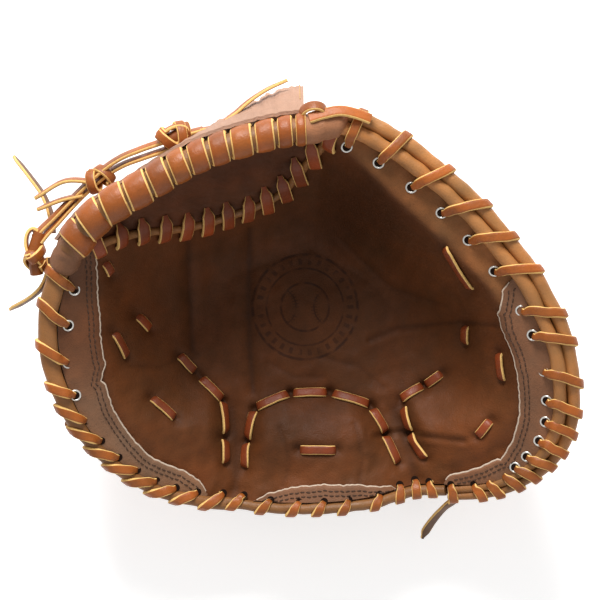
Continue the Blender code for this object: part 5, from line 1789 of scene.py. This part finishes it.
def make_heel_facing(looks):
    """Leather that closes the heel pad's face above the wrist opening."""
    azimuth = np.linspace(HEEL_SPAN[0] - 2.0, HEEL_SPAN[1] + 2.0, 140)
    values = station(azimuth)
    shares = np.linspace(0.55, 1.0, 160)[:, None]
    radius, height = back_section(values, shares)
    drop = np.hypot(radius[-1] - radius, height[-1] - height)
    lowest = np.array([np.interp(-HEEL_FACING, -drop[:, k], shares[:, 0]) for k in range(len(azimuth))])
    share = lowest + (0.995 - lowest) * np.linspace(0, 1, 26)[:, None]
    x, y = plan(azimuth[None, :], values["radius"] * share)
    crease = 0.35 * ripple(x, y, 16.0, 160) + 0.2 * ripple(x, y, 6.0, 161)
    rise = 5.5 * smooth((np.linspace(0, 1, 26) - 0.7) / 0.3)[:, None] * np.ones_like(x)
    outer = back_place(x, y, 0.3) + np.stack([0 * x, -0.5 * crease, rise], -1)
    inner = outer - unit(back_place(x, y, -1.0) - back_place(x, y, 0.0)) * 1.7
    shape = Shape()
    # Painted shade in the creases' hollows and painted light on their crests.
    add_slab(shape, inner, outer, tones=0.9 + 0.1 * crease)
    edge = outer[0] * 0.5 + inner[0] * 0.5
    add_sweep(shape, edge, round_profile(1.7, 10), 1, ups=(0, 0, 1), cap_slot=1)
    piece = shape.make("heel_facing", [looks["back"], looks["roll"]])
    dress(piece, "back_leather", "palm")


# ---------------------------------------------------------------- padding and linings

def copy_of(node, name):
    """A fresh object with a CAD node's mesh."""
    mesh = frame["nodes"][node].data.copy()
    mesh.name = name
    mesh.materials.clear()
    piece = bpy.data.objects.new(name, mesh)
    bpy.context.scene.collection.objects.link(piece)
    return piece


def applied(piece):
    """The piece with its modifiers made part of its mesh."""
    depsgraph = bpy.context.evaluated_depsgraph_get()
    mesh = bpy.data.meshes.new_from_object(piece.evaluated_get(depsgraph))
    piece.modifiers.clear()
    piece.data = mesh
    return piece


MOST_SWELL = 0.0008          # metres
SWELL_FRAMES = 20


def swell(piece, cap):
    """Let pressure round a pad out by cloth simulation, moving no point by more than cap."""
    before = np.array([v.co for v in piece.data.vertices])
    cloth = piece.modifiers.new("swell", "CLOTH")
    cloth.settings.use_pressure = True
    cloth.settings.uniform_pressure_force = 4.0
    cloth.settings.effector_weights.gravity = 0.0
    cloth.settings.quality = 4
    scene = bpy.context.scene
    for number in range(1, SWELL_FRAMES + 1):
        scene.frame_set(number)
    piece = applied(piece)
    scene.frame_set(1)
    after = np.array([v.co for v in piece.data.vertices])
    move = after - before
    length = np.linalg.norm(move, axis=1, keepdims=True)
    after = before + move * np.minimum(1.0, cap / np.maximum(length, 1e-9))
    piece.data.vertices.foreach_set("co", after.ravel())
    return piece


def make_pads(looks):
    """The felt pads under the hide, rounded out by simulation."""
    for node, body in (("thumb_pad", "thumb"), ("finger_pad", "fingers"),
                       ("palm_pad", "palm"), ("heel_pad", "palm")):
        piece = copy_of(node, node.replace("_pad", "_felt"))
        remesh = piece.modifiers.new("remesh", "REMESH")
        remesh.mode = "VOXEL"
        remesh.voxel_size = 0.004
        piece = applied(piece)
        soften = piece.modifiers.new("soften", "SMOOTH")
        soften.iterations = 4
        soften.factor = 0.5
        piece = applied(piece)
        piece = swell(piece, MOST_SWELL)
        piece.data.materials.append(looks["felt"])
        piece.data.shade_smooth()
        dress(piece, "felt", body, node)


def make_linings(looks):
    """Linings, stall walls and shields, each refined from its CAD form."""
    for node, body, look in (
            ("thumb_lining", "thumb", "lining"), ("finger_lining", "fingers", "lining"),
            ("palm_lining", "palm", "lining"), ("index_middle_wall", "fingers", "lining"),
            ("middle_ring_wall", "fingers", "lining"), ("ring_little_wall", "fingers", "lining"),
            ("thumb_stiffener", "thumb", "plastic"), ("finger_stiffener", "fingers", "plastic")):
        piece = copy_of(node, node + "_skin")
        weld = piece.modifiers.new("weld", "WELD")
        weld.merge_threshold = 0.00005
        bevel = piece.modifiers.new("bevel", "BEVEL")
        bevel.width = 0.0005
        bevel.segments = 1
        bevel.limit_method = "ANGLE"
        fine = piece.modifiers.new("fine", "SUBSURF")
        fine.levels = 1
        fine.render_levels = 1
        piece = applied(piece)
        piece.data.materials.append(looks[look])
        attributes = piece.data.attributes
        attribute = attributes.get("tone") or attributes.new("tone", "FLOAT_COLOR", "POINT")
        attribute.data.foreach_set("color", np.ones(4 * len(piece.data.vertices), np.float32))
        piece.data.shade_smooth()
        dress(piece, look, body, node)


# ---------------------------------------------------------------- the whole

def main():
    """Dress the frame."""
    make_camera()
    make_stage()
    looks = make_looks()
    make_tails(looks)
    make_knots(looks)
    make_pocket(looks)
    make_overlays(looks)
    make_finger_rolls(looks)
    make_thumb_roll(looks)
    make_heel_roll(looks)
    make_rim_laces(looks)
    make_palm_lacing(looks)
    make_web_faces(looks)
    make_web_back(looks)
    make_web_roll(looks)
    make_web_caps(looks)
    make_web_end_lace(looks)
    make_web_wraps(looks)
    make_web_seam(looks)
    make_back(looks)
    make_gussets(looks)
    make_centre_back(looks)
    make_opening_binding(looks)
    make_wrist_strap(looks)
    make_fleece(looks)
    make_heel_facing(looks)
    make_pads(looks)
    make_linings(looks)


main()
